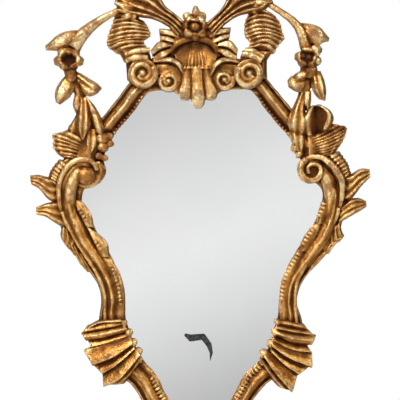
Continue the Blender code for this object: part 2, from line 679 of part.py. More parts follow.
def arm_scrolls():
    """The scroll at the head of each arm: the torus curls over into a ball under a rim."""
    forms = [drum(86, 173, 18, 15), ball(86, 175.5, 15, 9.4, 7), drum(312, 172, 13, 18)]
    left_torus = [
        (70, 226, 9, 5.6), (69.5, 205, 12, 6.4), (70, 190, 13.5, 6.4), (74, 179, 14, 6.4),
        (79, 173, 14, 6.4), (86, 171, 14, 5.4),
    ]
    forms.append(rail(left_torus))
    rim = [
        (62, 216, 12, 2), (59.5, 202, 15.5, 2.4), (59, 187, 17.5, 2.6), (62.5, 175, 19.5, 2.7),
        (68.5, 166, 21, 2.8),
    ]
    rim += [(76.5, 160.5, 22, 2.8), (86, 159.5, 22, 2.7), (93.5, 163, 21, 2.5), (97.5, 170, 18, 2.2)]
    forms.append(rail(rim))
    forms.append(
        panel(
            [(93, 163), (96, 173), (90, 184)],
            [(103, 160), (105.8, 172), (100, 183.5)],
            (15, 17, 12),
            SOFT,
        )
    )
    forms.append(
        panel(
            [(60, 208), (60, 190), (64, 176), (72, 166), (86, 161)],
            [(70, 208), (69, 192), (72, 180), (79, 171), (90, 167)],
            (14, 16, 17, 18, 18),
            BAND,
        )
    )
    forms.append(
        panel(
            [(339, 208), (339, 192), (335, 178), (327, 168), (316, 161)],
            [(330, 208), (330, 193), (328, 183), (322, 174), (314, 168)],
            (14, 16, 17, 18, 18),
            BAND,
        )
    )
    for ridge in (
        [(62, 212), (66, 222), (72.5, 234), (82, 250), (92, 265), (100, 280), (104.5, 296), (105, 326)],
        [
            (338.5, 208), (336.5, 216), (331, 227), (324, 238), (314, 252), (304, 267),
            (297, 282), (295, 300), (297, 326),
        ],
    ):
        forms.append(rail([(x, y, RIDGE_DEPTH, RIDGE_RADIUS) for x, y in ridge]))
    forms.append(
        panel(
            [(49, 182), (52, 171), (62, 160), (74, 155)],
            [(60, 188), (62, 178), (70, 168), (80, 161)],
            (13, 14, 15, 15),
            BAND,
        )
    )
    band_out = [
        (300, 160), (310, 154.5), (322, 154.5), (332, 161), (340, 170), (345, 181), (344.5, 196),
        (342, 208),
    ]
    band_in = [
        (304, 164), (313, 160), (320.5, 161), (328.5, 168), (334.5, 176), (338, 185), (338.5, 197),
        (337.5, 208),
    ]
    forms.append(panel(band_out, band_in, (18, 20, 22, 24.5, 27, 26, 21, 15), BAND))
    turn = [(306, 159, 19, 3), (301.5, 165, 19, 3.2), (301.5, 173.5, 19, 3.4), (307, 179.5, 19, 3.4)]
    turn += [(315, 179.5, 19, 3.2), (320, 173.5, 19, 3), (319, 166.5, 18, 2.6), (312.5, 164.5, 18, 2.4)]
    turn += [(308, 168, 18, 2.2), (309, 173.5, 18, 2.2)]
    forms.append(rail(turn))
    right_torus = [
        (328, 226, 9, 5.6), (330.5, 208, 12, 6.2), (330.5, 194, 13.5, 6.2), (328.5, 183, 13.5, 6.4),
        (324, 174, 13, 6), (319, 167, 12, 4),
    ]
    forms.append(rail(right_torus))
    teeth_left = [(48.5, 181, 58, 186, 2, 17), (51, 171, 61, 177, 2, 18), (60, 159, 69, 166, 2, 19)]
    teeth_right = [(351, 174, 343, 180, 2, 17), (347, 163, 337, 169, 2, 18), (338, 151, 327, 158, 2, 19)]
    forms += [ribbed(teeth_left, CROWN, 7, 2, 0.9), ribbed(teeth_right, CROWN, 7, 2, 1)]
    return forms


def arm_lips():
    """The low scalloped lips along the glass side of each arm."""
    lips = [
        ([(73, 198), (79, 212), (86, 226)], [(84, 203), (90.5, 213), (94.5, 228)], (14, 16.5, 15)),
        ([(86, 226), (95, 243), (101, 257)], [(97, 233), (107, 242.5), (109.5, 257)], (14, 16.5, 15)),
        (
            [(101, 257), (110, 275), (115, 296), (115.5, 326)],
            [(112, 260), (120.5, 275), (125, 296), (124.5, 326)],
            (14, 16.5, 16.5, 15),
        ),
        ([(331, 198), (328, 210), (322, 224)], [(323, 200), (319, 209), (315.5, 224)], (14, 16.5, 15)),
        ([(322, 222), (315, 238), (307, 252)], [(312, 226), (304, 237), (298, 250)], (14, 16.5, 15)),
        (
            [(307, 250), (296, 270), (290, 292), (289, 326)],
            [(297, 250), (287, 268), (280, 292), (278.5, 326)],
            (14, 16.5, 16.5, 15),
        ),
    ]
    return [panel(first, second, fronts, LIP) for first, second, fronts in lips]


def arm_leaves():
    """The notched leaves along the outside of each arm."""
    leaves = [
        (
            [(59, 178), (49, 177.5), (39, 175), (30, 175.5)],
            [(60, 203), (49, 200), (39.5, 189.5), (31, 184.5)],
            (15, 18, 17, 14),
        ),
        (
            [(60, 200), (51, 202), (44, 204), (36, 207)],
            [(68, 230), (55, 223), (46, 217), (36, 214.5)],
            (15, 18, 17, 14),
        ),
        ([(62, 226), (60.5, 234), (61.5, 240)], [(72, 232), (76, 244), (69, 250)], (15, 16, 13)),
        (
            [(342, 176), (351, 174.5), (360, 169), (370, 169)],
            [(342, 204), (352, 198), (361, 187), (370.5, 177)],
            (15, 18, 17, 14),
        ),
        (
            [(342, 206), (350, 199.5), (359, 198), (366.5, 201)],
            [(338, 224), (350, 217), (359, 211.5), (366.5, 206.5)],
            (15, 18, 17, 14),
        ),
        (
            [(65, 236), (68, 247), (73.5, 255.5)],
            [(73, 240), (78, 250), (80, 256)],
            (14, 15, 12),
        ),
        (
            [(73, 250), (79, 263), (87.5, 272.5)],
            [(82, 254), (88, 264), (92, 270)],
            (14, 15, 12),
        ),
        (
            [(339, 240), (333.5, 247), (329.5, 254)],
            [(329, 240), (324, 247), (322, 254)],
            (14, 15, 12),
        ),
        (
            [(328, 251), (321, 260), (313.5, 268)],
            [(318, 254), (311, 262), (307, 268)],
            (14, 15, 12),
        ),
        ([(340, 222), (342, 231), (344.5, 236)], [(330, 232), (330, 246), (340, 241.5)], (15, 16, 13)),
    ]
    return [panel(first, second, fronts, VEINED, 2) for first, second, fronts in leaves]


def knuckles():
    """The pleated knuckle on each arm. A fold runs from its tip outside the arm to its end at the glass."""
    left = [
        ([(89, 325.5), (100, 320), (120, 318)], [(88, 329), (101, 324), (123, 323)], (20, 22, 21), CROWN),
        ([(87, 326), (104, 321), (123, 320)], [(81, 334.5), (104, 331.5), (125, 327)], (19, 21, 20), SOFT),
        (
            [(81.5, 332.5), (104, 329), (125, 324.5)],
            [(86, 341), (107, 337.5), (128, 331.5)],
            (21, 24, 23), PLEAT,
        ),
        (
            [(87, 339), (107, 335.5), (129, 329.5)],
            [(92, 347.5), (108, 343), (131, 335.5)],
            (19, 21, 21), PLANE,
        ),
        (
            [(83.5, 350), (107, 341.5), (130, 334)],
            [(93, 366), (114, 358), (133, 344.5)],
            (21, 26, 25), PLANE,
        ),
        (
            [(93, 364.5), (114, 356), (133, 343)],
            [(103, 374.5), (118, 364.5), (135, 349)],
            (20, 24, 24), PLANE,
        ),
        (
            [(102.5, 373), (118, 362), (134, 347)],
            [(103.5, 387), (121, 379), (141, 355)],
            (21, 26, 26), PLANE,
        ),
        ([(106, 385), (122, 376), (139, 354)], [(124, 384), (132, 375), (143, 360)], (15, 18, 19), CROWN),
    ]
    right = [
        ([(304, 324), (290, 320), (277, 319)], [(309, 331), (292, 328), (276, 325)], (18, 21, 20), PLEAT),
        ([(309, 330), (292, 327), (276, 323)], [(316, 338), (294, 335), (275, 331)], (19, 21, 21), PLEAT),
        ([(316, 335), (294, 333), (276, 329)], [(312, 345), (292, 343), (276, 336)], (22, 25, 23), PLEAT),
        ([(307, 345), (290, 341), (274, 335)], [(312, 353), (292, 350), (273, 341)], (19, 22, 22), PLANE),
        ([(312, 352), (292, 348), (272, 338)], [(312, 368), (290, 359), (272, 347)], (21, 26, 25), PLANE),
        ([(310, 366), (290, 357), (272, 346)], [(298, 375), (284, 365), (270, 351)], (20, 24, 24), PLANE),
        ([(297, 375), (283, 364), (267, 350)], [(292, 393), (276, 375), (263, 356)], (21, 25, 25), PLANE),
        ([(291, 391), (275, 373), (262, 355)], [(278, 387), (268, 375), (259, 361)], (15, 18, 19), CROWN),
    ]
    forms = [panel(first, second, fronts, section) for first, second, fronts, section in left + right]
    for column, row, radius in (
        (124, 323, 3.4), (129, 333, 4), (133, 343, 4.4), (138, 352, 4.6),
        (277, 322, 3.2), (275, 332, 4), (271, 344, 4.4), (264, 354, 4.6),
    ):
        forms.append(drum(column, row, radius, 18))
        forms.append(ball(column, row, 18, 0.96 * radius, 4))
    return forms


def foot():
    """The two scrolls and the plain pendant leaf that close the frame below."""
    forms = scroll(178, 434, 12, 300, -1, 22, 1.1) + scroll(222, 434, 12, 240, 1, 22, 1.1)
    pendant = [
        (190, 428, 210, 428, BEHIND_WALL, 24),
        (184, 441, 216, 441, BEHIND_WALL, 24),
        (190, 455, 210, 455, BEHIND_WALL, 20),
        (198, 466, 202, 466, BEHIND_WALL, 12),
    ]
    return forms + [strip(pendant, FOLDED)]


def carving():
    """Every carved form but the moulding."""
    parts = (
        crest_block, volutes, shell, rosette, sprays, wings, ribbons, stems, flowers, garlands, shoulders,
        arm_scrolls, arm_lips, arm_leaves, knuckles, foot,
    )
    return [form for part in parts for form in part()]


def sight_outline(margin):
    """The edge of the glass opening as grid points, moved out under the moulding by the margin in metres."""
    edge = np.array(moulding_rows(), float)[:, 2:4]
    along = np.roll(edge, -1, 0) - np.roll(edge, 1, 0)
    outward = np.column_stack([-along[:, 1], along[:, 0]]) / np.linalg.norm(along, axis=1)[:, None]
    return edge - outward * margin / SQUARE * turning(edge)


def turning(edge):
    """1 where a closed outline runs clockwise as seen, otherwise -1."""
    later = np.roll(edge, -1, 0)
    return math.copysign(1, np.sum(edge[:, 0] * later[:, 1] - later[:, 0] * edge[:, 1]))


def slab(outline, back, front):
    """A flat piece of an outline between two depths in metres."""
    return loft([[(x, y, depth / SQUARE) for x, y in outline] for depth in (back, front)])


def block(width, height, back, front, rise=0):
    """A box centred on the origin's column, between two depths in metres."""
    solid = bmesh.new()
    place = Matrix.Translation((0, -(back + front) / 2, rise))
    bmesh.ops.create_cube(solid, size=1, matrix=place @ Matrix.Diagonal((width, front - back, height, 1)))
    return solid


def bore(diameter, back, front, rise, back_diameter=None):
    """A round cutter between two depths in metres. It is a cone where the diameter at its back differs."""
    solid = bmesh.new()
    place = Matrix.Translation((0, -(back + front) / 2, rise)) @ Matrix.Rotation(math.pi / 2, 4, "X")
    bmesh.ops.create_cone(
        solid,
        cap_ends=True,
        segments=ROUND_SIDES,
        radius1=(back_diameter or diameter) / 2,
        radius2=diameter / 2,
        depth=front - back,
        matrix=place,
    )
    return solid


def add_object(name, solid, collection, material=None):
    mesh = bpy.data.meshes.new(name)
    solid.to_mesh(mesh)
    solid.free()
    piece = bpy.data.objects.new(name, mesh)
    collection.objects.link(piece)
    if material:
        mesh.materials.append(material)
    else:
        piece.hide_render = True
        piece.display_type = "WIRE"
    return piece


def add_collection(name):
    collection = bpy.data.collections.new(name)
    bpy.context.scene.collection.children.link(collection)
    return collection


def combine(piece, operation, collection):
    cut = piece.modifiers.new(operation.title(), "BOOLEAN")
    cut.operation = operation
    cut.operand_type = "COLLECTION"
    cut.collection = collection
    return cut


def finish_material(name, colour, roughness, metallic):
    material = bpy.data.materials.new(name)
    material.use_nodes = True
    shader = material.node_tree.nodes["Principled BSDF"]
    shader.inputs["Base Color"].default_value = (*colour, 1)
    shader.inputs["Roughness"].default_value = roughness
    shader.inputs["Metallic"].default_value = metallic
    return material


def screw_rises():
    """The heights of the strap's screws, from the one next to its foot."""
    return [SCREW_INSET - STRAP_HEIGHT / 2 + SCREW_SPACING * i for i in range(SCREW_COUNT)]


def join_forms():
    """The moulding and the carving as one solid: joined by voxels, softened, brought down to its facets."""
    joined = bmesh.new()
    for form in [strip(moulding_rows(), MOULDING, closed=True)] + carving():
        mesh = bpy.data.meshes.new("form")
        form.to_mesh(mesh)
        form.free()
        joined.from_mesh(mesh)
        bpy.data.meshes.remove(mesh)
    forms = add_object("forms", joined, add_collection("Carved forms"))
    remesh = forms.modifiers.new("Join", "REMESH")
    remesh.mode = "VOXEL"
    remesh.voxel_size = GRAIN
    smooth = forms.modifiers.new("Soften", "SMOOTH")
    smooth.iterations = SOFTEN_STEPS
    solid = outer_skin(forms)
    bpy.data.objects.remove(forms)
    return solid


def outer_skin(piece):
    """The piece's evaluated mesh without the small closed skins of pockets sealed inside the wood."""
    whole = piece.evaluated_get(bpy.context.evaluated_depsgraph_get())
    skin = bmesh.new()
    skin.from_mesh(whole.to_mesh())
    islands = []
    left = set(skin.verts)
    while left:
        island = {left.pop()}
        edge = list(island)
        while edge:
            near = {link.other_vert(vert) for vert in edge for link in vert.link_edges} - island
            island |= near
            edge = list(near)
        left -= island
        islands.append(island)
    largest = max(islands, key=len)
    bmesh.ops.delete(skin, geom=[vert for vert in skin.verts if vert not in largest], context="VERTS")
    return skin


def make_frame(mirror):
    """The carved frame: joined, cut flat at the wall, with its rebate and the seat of the strap."""
    gilt = finish_material("Aged gold leaf", (0.72, 0.42, 0.12), 0.35, 0.9)
    frame = add_object("carved_frame", join_forms(), mirror, gilt)
    facets = frame.modifiers.new("Facets", "DECIMATE")
    facets.ratio = FRAME_FACETS / (2 * len(frame.data.polygons))
    cutters = add_collection("Cutters")
    rebate_depth = BOARD_INSET + BOARD_THICKNESS + GLASS_THICKNESS + 2 * FACE_CLEARANCE
    seat_depth = STRAP_THICKNESS + FACE_CLEARANCE
    past_wall = 2 * BEHIND_WALL * SQUARE
    add_object("wall", block(2 * FRAME_WIDTH, 4 * FRAME_WIDTH, past_wall, 0), cutters)
    add_object("rebate", slab(sight_outline(REBATE_WIDTH), past_wall, rebate_depth), cutters)
    seat_size = [size + 2 * FACE_CLEARANCE for size in (STRAP_WIDTH, STRAP_HEIGHT)]
    add_object("strap_seat", block(*seat_size, past_wall, seat_depth), cutters)
    mortise_depth = seat_depth + NAIL_MORTISE_DEPTH
    add_object("nail_mortise", bore(NAIL_MORTISE_WIDTH, past_wall, mortise_depth, NAIL_HOLE_RISE), cutters)
    for rise in screw_rises():
        width = SCREW_SHANK + 2 * FACE_CLEARANCE
        add_object("screw_hole", bore(width, past_wall, SCREW_LENGTH + 2 * FACE_CLEARANCE, rise), cutters)
    cut = combine(frame, "DIFFERENCE", cutters)
    # The joined skin is watertight, so the manifold solver keeps every cut closed
    cut.solver = "MANIFOLD"


def make_glass_and_board(mirror):
    silvered = finish_material("Mirror glass", (0.85, 0.86, 0.86), 0.03, 1.0)
    pine = finish_material("Old pine", (0.36, 0.22, 0.12), 0.75, 0.0)
    outline = sight_outline(REBATE_WIDTH - EDGE_CLEARANCE)
    board_front = BOARD_INSET + BOARD_THICKNESS
    glass_back = board_front + FACE_CLEARANCE
    add_object("back_board", slab(outline, BOARD_INSET, board_front), mirror, pine)
    add_object("mirror_plate", slab(outline, glass_back, glass_back + GLASS_THICKNESS), mirror, silvered)


def make_hanger(mirror):
    """The iron strap, flush in the frame's back, with its nail hole and countersunk screws."""
    iron = finish_material("Dark iron", (0.12, 0.11, 0.1), 0.55, 0.9)
    strap = add_object("hanger_strap", block(STRAP_WIDTH, STRAP_HEIGHT, 0, STRAP_THICKNESS), mirror, iron)
    holes = add_collection("Strap holes")
    past = STRAP_THICKNESS
    add_object("nail_hole", bore(NAIL_HOLE, -past, 2 * past, NAIL_HOLE_RISE), holes)
    play = 2 * FACE_CLEARANCE
    profile = [
        (0, SCREW_LENGTH),
        (SCREW_SHANK / 2, SCREW_LENGTH - SCREW_SHANK / 2),
        (SCREW_SHANK / 2, (SCREW_HEAD - SCREW_SHANK) / 2),
        (SCREW_HEAD / 2, FACE_CLEARANCE),
        (0, FACE_CLEARANCE),
    ]
    for i, rise in enumerate(screw_rises()):
        add_object("screw_clearance", bore(SCREW_SHANK + play, -past, 2 * past, rise), holes)
        sink = (SCREW_HEAD - SCREW_SHANK) / 2
        wide = SCREW_HEAD + play
        add_object("countersink", bore(SCREW_SHANK + play, 0, sink, rise, wide), holes)
        mesh = bpy.data.meshes.new("screw")
        edges = [(j, j + 1) for j in range(len(profile) - 1)]
        mesh.from_pydata([(radius, 0, depth) for radius, depth in profile], edges, [])
        mesh.materials.append(iron)
        screw = bpy.data.objects.new(f"hanger_screw_{i + 1}", mesh)
        screw.location = (0, 0, rise)
        screw.rotation_euler = (math.pi / 2, 0, 0)
        turned = screw.modifiers.new("Turned", "SCREW")
        turned.steps = turned.render_steps = ROUND_SIDES
        turned.use_merge_vertices = True
        turned.merge_threshold = 0.00001
        mirror.objects.link(screw)
    combine(strap, "DIFFERENCE", holes)


def main():
    for old in list(bpy.data.objects):
        bpy.data.objects.remove(old)
    mirror = add_collection("Wall mirror")
    make_frame(mirror)
    make_glass_and_board(mirror)
    make_hanger(mirror)


main()
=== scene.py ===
"""Looks of the carved giltwood wall mirror: gilding, glass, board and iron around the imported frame.

The carving is drawn again on the carver's grid, finer than the solid it replaces, with beaded edges.
"""

import json
import math

import bmesh
import bpy
import numpy as np
from mathutils import Matrix, Vector

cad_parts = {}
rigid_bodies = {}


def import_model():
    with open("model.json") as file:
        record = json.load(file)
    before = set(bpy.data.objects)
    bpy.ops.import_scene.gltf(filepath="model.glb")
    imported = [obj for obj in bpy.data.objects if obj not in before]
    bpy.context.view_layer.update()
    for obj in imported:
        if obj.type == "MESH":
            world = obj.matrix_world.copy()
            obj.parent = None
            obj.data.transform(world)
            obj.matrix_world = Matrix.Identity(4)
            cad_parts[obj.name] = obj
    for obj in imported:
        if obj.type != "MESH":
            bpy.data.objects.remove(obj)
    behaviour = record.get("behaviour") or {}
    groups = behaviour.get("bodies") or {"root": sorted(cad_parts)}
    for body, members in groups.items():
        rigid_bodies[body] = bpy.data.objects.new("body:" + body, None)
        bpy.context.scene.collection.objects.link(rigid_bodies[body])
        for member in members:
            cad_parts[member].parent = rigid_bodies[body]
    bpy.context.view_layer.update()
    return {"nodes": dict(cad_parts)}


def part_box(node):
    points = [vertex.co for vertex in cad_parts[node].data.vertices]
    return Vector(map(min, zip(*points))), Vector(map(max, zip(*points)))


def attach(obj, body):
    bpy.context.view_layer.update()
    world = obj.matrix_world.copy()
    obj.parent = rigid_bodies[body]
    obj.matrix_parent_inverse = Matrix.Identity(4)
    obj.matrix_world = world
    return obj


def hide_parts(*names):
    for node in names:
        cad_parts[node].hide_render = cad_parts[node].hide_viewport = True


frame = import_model()

# Sizes in metres that the frame's own source also has
FRAME_WIDTH = 0.510
GLASS_THICKNESS = 0.003
BOARD_THICKNESS = 0.006
BOARD_INSET = 0.001
REBATE_WIDTH = 0.006
FACE_CLEARANCE = 0.0003
STRAP_WIDTH = 0.018
STRAP_HEIGHT = 0.052
STRAP_THICKNESS = 0.002
NAIL_MORTISE_WIDTH = 0.013
NAIL_MORTISE_DEPTH = 0.007
NAIL_HOLE_RISE = 0.015

# How fine the carved skin is
GRAIN = 0.0008
SOFTEN_STEPS = 1
FRAME_FACETS = 190000
CREASE = 60
WAVES = 14
WOBBLE = 0.00025
WOBBLE_SIZE = 0.016
TOOLING = 0.0001
TOOLING_SIZE = 0.004
RIDGE_FULL = 0.0005
SWELL_FULL = 0.0015
HOLLOW_FULL = 0.013
MAP_CELL = 0.0015
MAP_ROUNDS = 24
RIDGE_ROUNDS = 4
SWELL_ROUNDS = 30
EVEN_ROUNDS = 2

# The photo's framing and the studio
PHOTO_SQUARES = 400
SENSOR = 36
CAMERA_DISTANCE = 4.0
MEAN_DEPTH = 0.02
VIEW_HEIGHT = -0.213
FLOOR_RADIUS = 1.6
FLOOR_DROP = 0.05
FLOOR_SIDES = 96
# A pale band crosses the room at a tilt. Heights run from -1 below to 1 above
BAND_TILT = math.radians(21)
ROOM_BANDS = [
    (-1, 0.02), (-0.45, 0.04), (-0.16, 0.16), (-0.069, 0.56), (-0.041, 0.775), (-0.018, 0.89),
    (0.0075, 0.8), (0.037, 0.65), (0.12, 0.34), (0.4, 0.3), (0.75, 0.6), (1, 0.8),
]
# The room's sides are dimmer: where the fall begins and ends, and the share of light left there
SIDE_FALL = (0.08, 0.75)
SIDE_LEFT_OVER = 0.25
# Each light's place from the middle of the view, its size and its power
LIGHTS = {
    "key": ((-1.1, -1.5, 1.6), (0.6, 0.6), 36), "fill": ((1.5, -1.5, 1.1), (0.4, 1.0), 16),
    "side": ((-0.95, -1.6, -0.2), (0.2, 1.3), 8),
}

# Gilding's tone from the painted shade of the deepest hollows to the painted highlight and wear of the
# crests, and the red clay under it
GILT_STEPS = [
    (-0.95, (0.04, 0.010, 0.0025)), (-0.55, (0.12, 0.042, 0.009)), (-0.15, (0.26, 0.104, 0.022)),
    (0.15, (0.41, 0.182, 0.042)), (0.5, (0.63, 0.35, 0.12)), (0.9, (0.95, 0.73, 0.38)),
]
BOLE = (0.2, 0.05, 0.02)

# The painted shade's share in the hollows of the lower half, and the heights between which it falls to that
LOW_SHADE_SHARE = 0.5
LOW_REACH = (-0.3, -0.05)
LOW_TINT = (1, 0.94, 0.78)

# How far each cause moves the gilding's tone, which runs from -1 for painted shade in the deepest hollows to
# 1 for painted highlight and wear on the crests
RIDGE_LIFT = 0.42
SWELL_LIFT = 0.42
HOLLOW_LIFT = -0.8
BLOT_LIFT = 0.9
CLOUD_LIFT = 0.7

# Strokes where the gilding is painted darker: painted shadow under the rosette along the shell's arch and
# painted shade in the cluster of curls left of the glass, the rest a darker tone. Column, row and half width
DARK_STROKE_DEPTH = 0.7
SHADE_AND_DARK_STROKES = [
    [(107, 134, 4), (108, 145, 6), (102, 158, 4)], [(85, 174, 7), (88, 177, 6)],
    [(103, 163, 3), (104, 177, 3)], [(147, 98, 2.5), (131, 113, 2.5), (118, 127, 2.5)],
    [(257, 97, 2.5), (270, 112, 2.5), (284, 128, 2.5)],
    [(171, 54, 2.5), (182, 42.5, 2.5), (195, 38, 3), (208, 42.5, 2.5), (219, 54, 2.5)],
    [(187, 26, 5), (202, 30, 5)], [(69, 56, 6), (71, 74, 5)], [(306, 57, 6), (310, 70, 6)],
    [(321, 134, 2), (333, 131, 2), (343, 127, 3)],
]

# A painted reflection: the dark hook-shaped mark on the glass, as column, row and half width
REFLECTION_HOOK = [
    (186, 335.5, 1.8), (191, 338.3, 3.6), (203, 337, 3.1), (209, 345, 2.8), (211.3, 353, 1.7),
    (210.2, 361, 0.3),
]

# Gadroons on the inner edge: first and last row, side, length, inset from the edge and share of the height
BEAD_PITCH = 4.0
BEAD_LEAN = 1.2
BEAD_RADII = (0.9, 1.6, 0.9)
BEAD_SAMPLES = 2000
BEADED = [
    (98, 148, -1, 2.6, 0.8, 0.66), (98, 148, 1, 2.6, 0.8, 0.66), (206, 230, -1, 3.2, 3.4, 0.92),
    (238, 257, -1, 3.2, 3.6, 0.92), (260, 306, -1, 3.2, 3.4, 0.92), (203, 215, 1, 5.5, -1.0, 0.8),
    (228, 244, 1, 5.5, -1.0, 0.8), (250, 298, 1, 5.5, 0.2, 0.8), (358, 424, -1, 5.5, 2.4, 0.84),
    (360, 424, 1, 5.5, 2.4, 0.84),
]

# The carver's grid: so many squares across the frame, the middle column and the strap's row
GRID_COLUMNS = 340
SQUARE = FRAME_WIDTH / GRID_COLUMNS
CENTRE_COLUMN = 200
STRAP_ROW = 58
BEHIND_WALL = -3
ROUND_SIDES = 16

# How finely the forms are drawn and joined before the carved surface is brought down to its facets
ROW_STEPS = 8
SECTION_STEPS = 6
RIB_STEPS = 12
LEAF_STEPS = 24
RAIL_SIDES = 20
DRUM_SIDES = 48
RESAMPLE_STEPS = 8
SCROLL_POINTS = 12
LEAST_LENGTH = 1e-6
PETAL_LIFT = 0.9
RIDGE_DEPTH = 15.5
RIDGE_RADIUS = 2
HOOD_RIB_PITCH = 3.6
PETAL_TIERS = 2.3

# Cross-sections as (share across, share of the height), outer or left edge first
MOULDING = [
    (0, 0.5), (0.07, 0.74), (0.16, 0.62), (0.3, 0.86), (0.46, 1), (0.62, 0.88), (0.76, 0.64),
    (0.88, 0.64), (1, 0.46),
]
CROWN = [(0, 0.62), (0.3, 0.95), (0.65, 1), (1, 0.66)]
LEAF = [(0, 0.7), (0.3, 1), (0.5, 0.9), (0.74, 0.98), (1, 0.68)]
SOFT = [(0, 0.7), (0.25, 0.94), (0.58, 1), (1, 0.72)]
FOLDED = [
    (0, 0.62), (0.1, 1), (0.2, 0.74), (0.36, 0.96), (0.5, 0.68), (0.66, 0.86), (0.76, 0.66), (0.88, 1),
    (1, 0.62),
]
CUP = [(0, 0.9), (0.12, 1), (0.5, 0.3), (0.88, 1), (1, 0.9)]
VEINED = [(0, 0.66), (0.14, 0.95), (0.3, 0.86), (0.48, 1), (0.64, 0.86), (0.82, 0.96), (1, 0.66)]
CREASED = [(0, 0.8), (0.12, 0.97), (0.4, 1), (0.52, 0.8), (0.64, 0.96), (0.9, 1), (1, 0.8)]
LOBE = [(0, 0.82), (0.16, 0.95), (0.5, 1), (0.84, 0.95), (1, 0.82)]
DISH = [(0, 0.97), (0.5, 0.82), (1, 0.97)]
LIP = [(0, 0.95), (0.45, 1), (0.8, 0.92), (1, 0.6)]
PLEAT = [(0, 0.68), (0.25, 0.92), (0.5, 1), (0.8, 0.9), (1, 0.7)]
PLANE = [(0, 0.72), (0.12, 0.8), (0.78, 0.97), (0.9, 1), (1, 0.74)]
BAND = [(0, 0.78), (0.2, 1), (0.8, 1), (1, 0.78)]


def metres(points):
    """Grid points (column, row, depth) as points in metres."""
    points = np.asarray(points, float)
    x, y, z = points[:, 0] - CENTRE_COLUMN, -points[:, 2], STRAP_ROW - points[:, 1]
    return np.column_stack([x * SQUARE, y * SQUARE, z * SQUARE])


def through(rows, steps, closed=False):
    """Rows of numbers on a smooth curve through the given rows, with so many steps from one to the next."""
    rows = np.asarray(rows, float)
    if closed:
        before, start, end, after = (np.roll(rows, shift, 0) for shift in (1, 0, -1, -2))
    else:
        padded = np.vstack([2 * rows[0] - rows[1], rows, 2 * rows[-1] - rows[-2]])
        before, start, end, after = (padded[i : len(padded) - 3 + i] for i in range(4))
    curve = []
    for p, q, r, s in zip(before, start, end, after):
        for t in np.arange(steps) / steps:
            bend = (2 * p - 5 * q + 4 * r - s) * t**2 + (3 * q - p - 3 * r + s) * t**3
            curve.append(q + 0.5 * ((r - p) * t + bend))
    return np.array(curve if closed else curve + [rows[-1]])


def loft(rings, closed=False):
    """A solid through rings of grid points. Where closed, the last ring joins the first."""
    solid = bmesh.new()
    loops = [[solid.verts.new(point) for point in metres(ring)] for ring in rings]
    pairs = list(zip(loops, loops[1:] + loops[:1])) if closed else list(zip(loops, loops[1:]))
    for first, second in pairs:
        for i in range(len(first)):
            j = (i + 1) % len(first)
            solid.faces.new((first[i], first[j], second[j], second[i]))
    if not closed:
        solid.faces.new(loops[0])
        solid.faces.new(loops[-1])
    bmesh.ops.triangulate(solid, faces=solid.faces, ngon_method="EAR_CLIP")
    bmesh.ops.recalc_face_normals(solid, faces=solid.faces)
    return solid


def rounded(section):
    """A cross-section through soft curves, so that each of its points is a crest, a hollow or an edge."""
    curve = []
    for (u, share), (next_u, next_share) in zip(section, section[1:]):
        for t in np.arange(SECTION_STEPS) / SECTION_STEPS:
            curve.append((u + (next_u - u) * t, share + (next_share - share) * (3 - 2 * t) * t * t))
    return curve + [section[-1]]


def strip(rows, section, steps=ROW_STEPS, closed=False, bow=0):
    """Carving between two edges. A row is each edge's column and row, then the depths of back and front."""
    rows = through(rows, steps, closed)
    section = rounded(section)
    rings = []
    for i, (x1, y1, x2, y2, back, front) in enumerate(rows):
        later, earlier = rows[(i + 1) % len(rows)], rows[i - 1]
        if not closed:
            later, earlier = rows[min(i + 1, len(rows) - 1)], rows[max(i - 1, 0)]
        along = (later[:2] + later[2:4] - earlier[:2] - earlier[2:4]) / 2
        along = along / max(np.linalg.norm(along), LEAST_LENGTH)
        ring = []
        for u, share in section:
            push = bow * math.sin(math.pi * u) * along
            x, y = x1 + (x2 - x1) * u, y1 + (y2 - y1) * u
            ring.append((x + push[0], y + push[1], back + (front - back) * share))
        ring.append((x2, y2, back))
        ring.append((x1, y1, back))
        rings.append(ring)
    return loft(rings, closed)


def ribbed(rows, section, ribs, ripple, scallop, bow=0):
    """A strip with ribs across it. Each rib stands up by the ripple and its ends reach out by the scallop."""
    wavy = []
    for i, row in enumerate(resample(rows, RIB_STEPS * ribs + 1)):
        across = (row[2:4] - row[:2]) / max(np.linalg.norm(row[2:4] - row[:2]), LEAST_LENGTH)
        wave = abs(math.sin(math.pi * i / RIB_STEPS)) ** 0.9
        row[:2] -= across * scallop * wave
        row[2:4] += across * scallop * wave
        row[5] -= ripple * (1 - wave)
        wavy.append(row)
    return strip(wavy, section, 1, bow=bow)


def panel(first, second, fronts, section, back=BEHIND_WALL):
    """Carving between two edges given as points (column, row), with the front's depth at each pair."""
    return strip([(*a, *b, back, front) for a, b, front in zip(first, second, fronts)], section)


def panels(shapes, section=None, back=BEHIND_WALL):
    """A panel for each shape: first edge, second edge, fronts, and its own section where none is given."""
    shared = [] if section is None else [section]
    return [panel(*shape, *shared, back) for shape in shapes]


def resample(rows, count):
    """So many rows at even steps along a smooth curve through the given rows."""
    fine = through(rows, RESAMPLE_STEPS)
    places = np.linspace(0, len(fine) - 1, count)
    return np.column_stack([np.interp(places, np.arange(len(fine)), column) for column in fine.T])


def sideways(path, i):
    """The unit step at right angles to the path at its point i."""
    along = path[min(i + 1, len(path) - 1)] - path[max(i - 1, 0)]
    return np.array([along[1], -along[0]]) / max(np.linalg.norm(along[:2]), LEAST_LENGTH)


def leaf(path, width, thick, blunt):
    """A leaf along its midrib of (column, row, front's depth). Blunt is the tip's share of the width."""
    mid = resample(path, LEAF_STEPS)
    rows = []
    for i, (x, y, front) in enumerate(mid):
        t = i / (len(mid) - 1)
        half = width / 2 * (0.6 + 1.6 * t * (1 - t)) * (1 - (1 - blunt) * t**3)
        nx, ny = sideways(mid, i)
        rows.append((x + nx * half, y + ny * half, x - nx * half, y - ny * half, front - thick, front))
    return strip(rows, SOFT, 1)


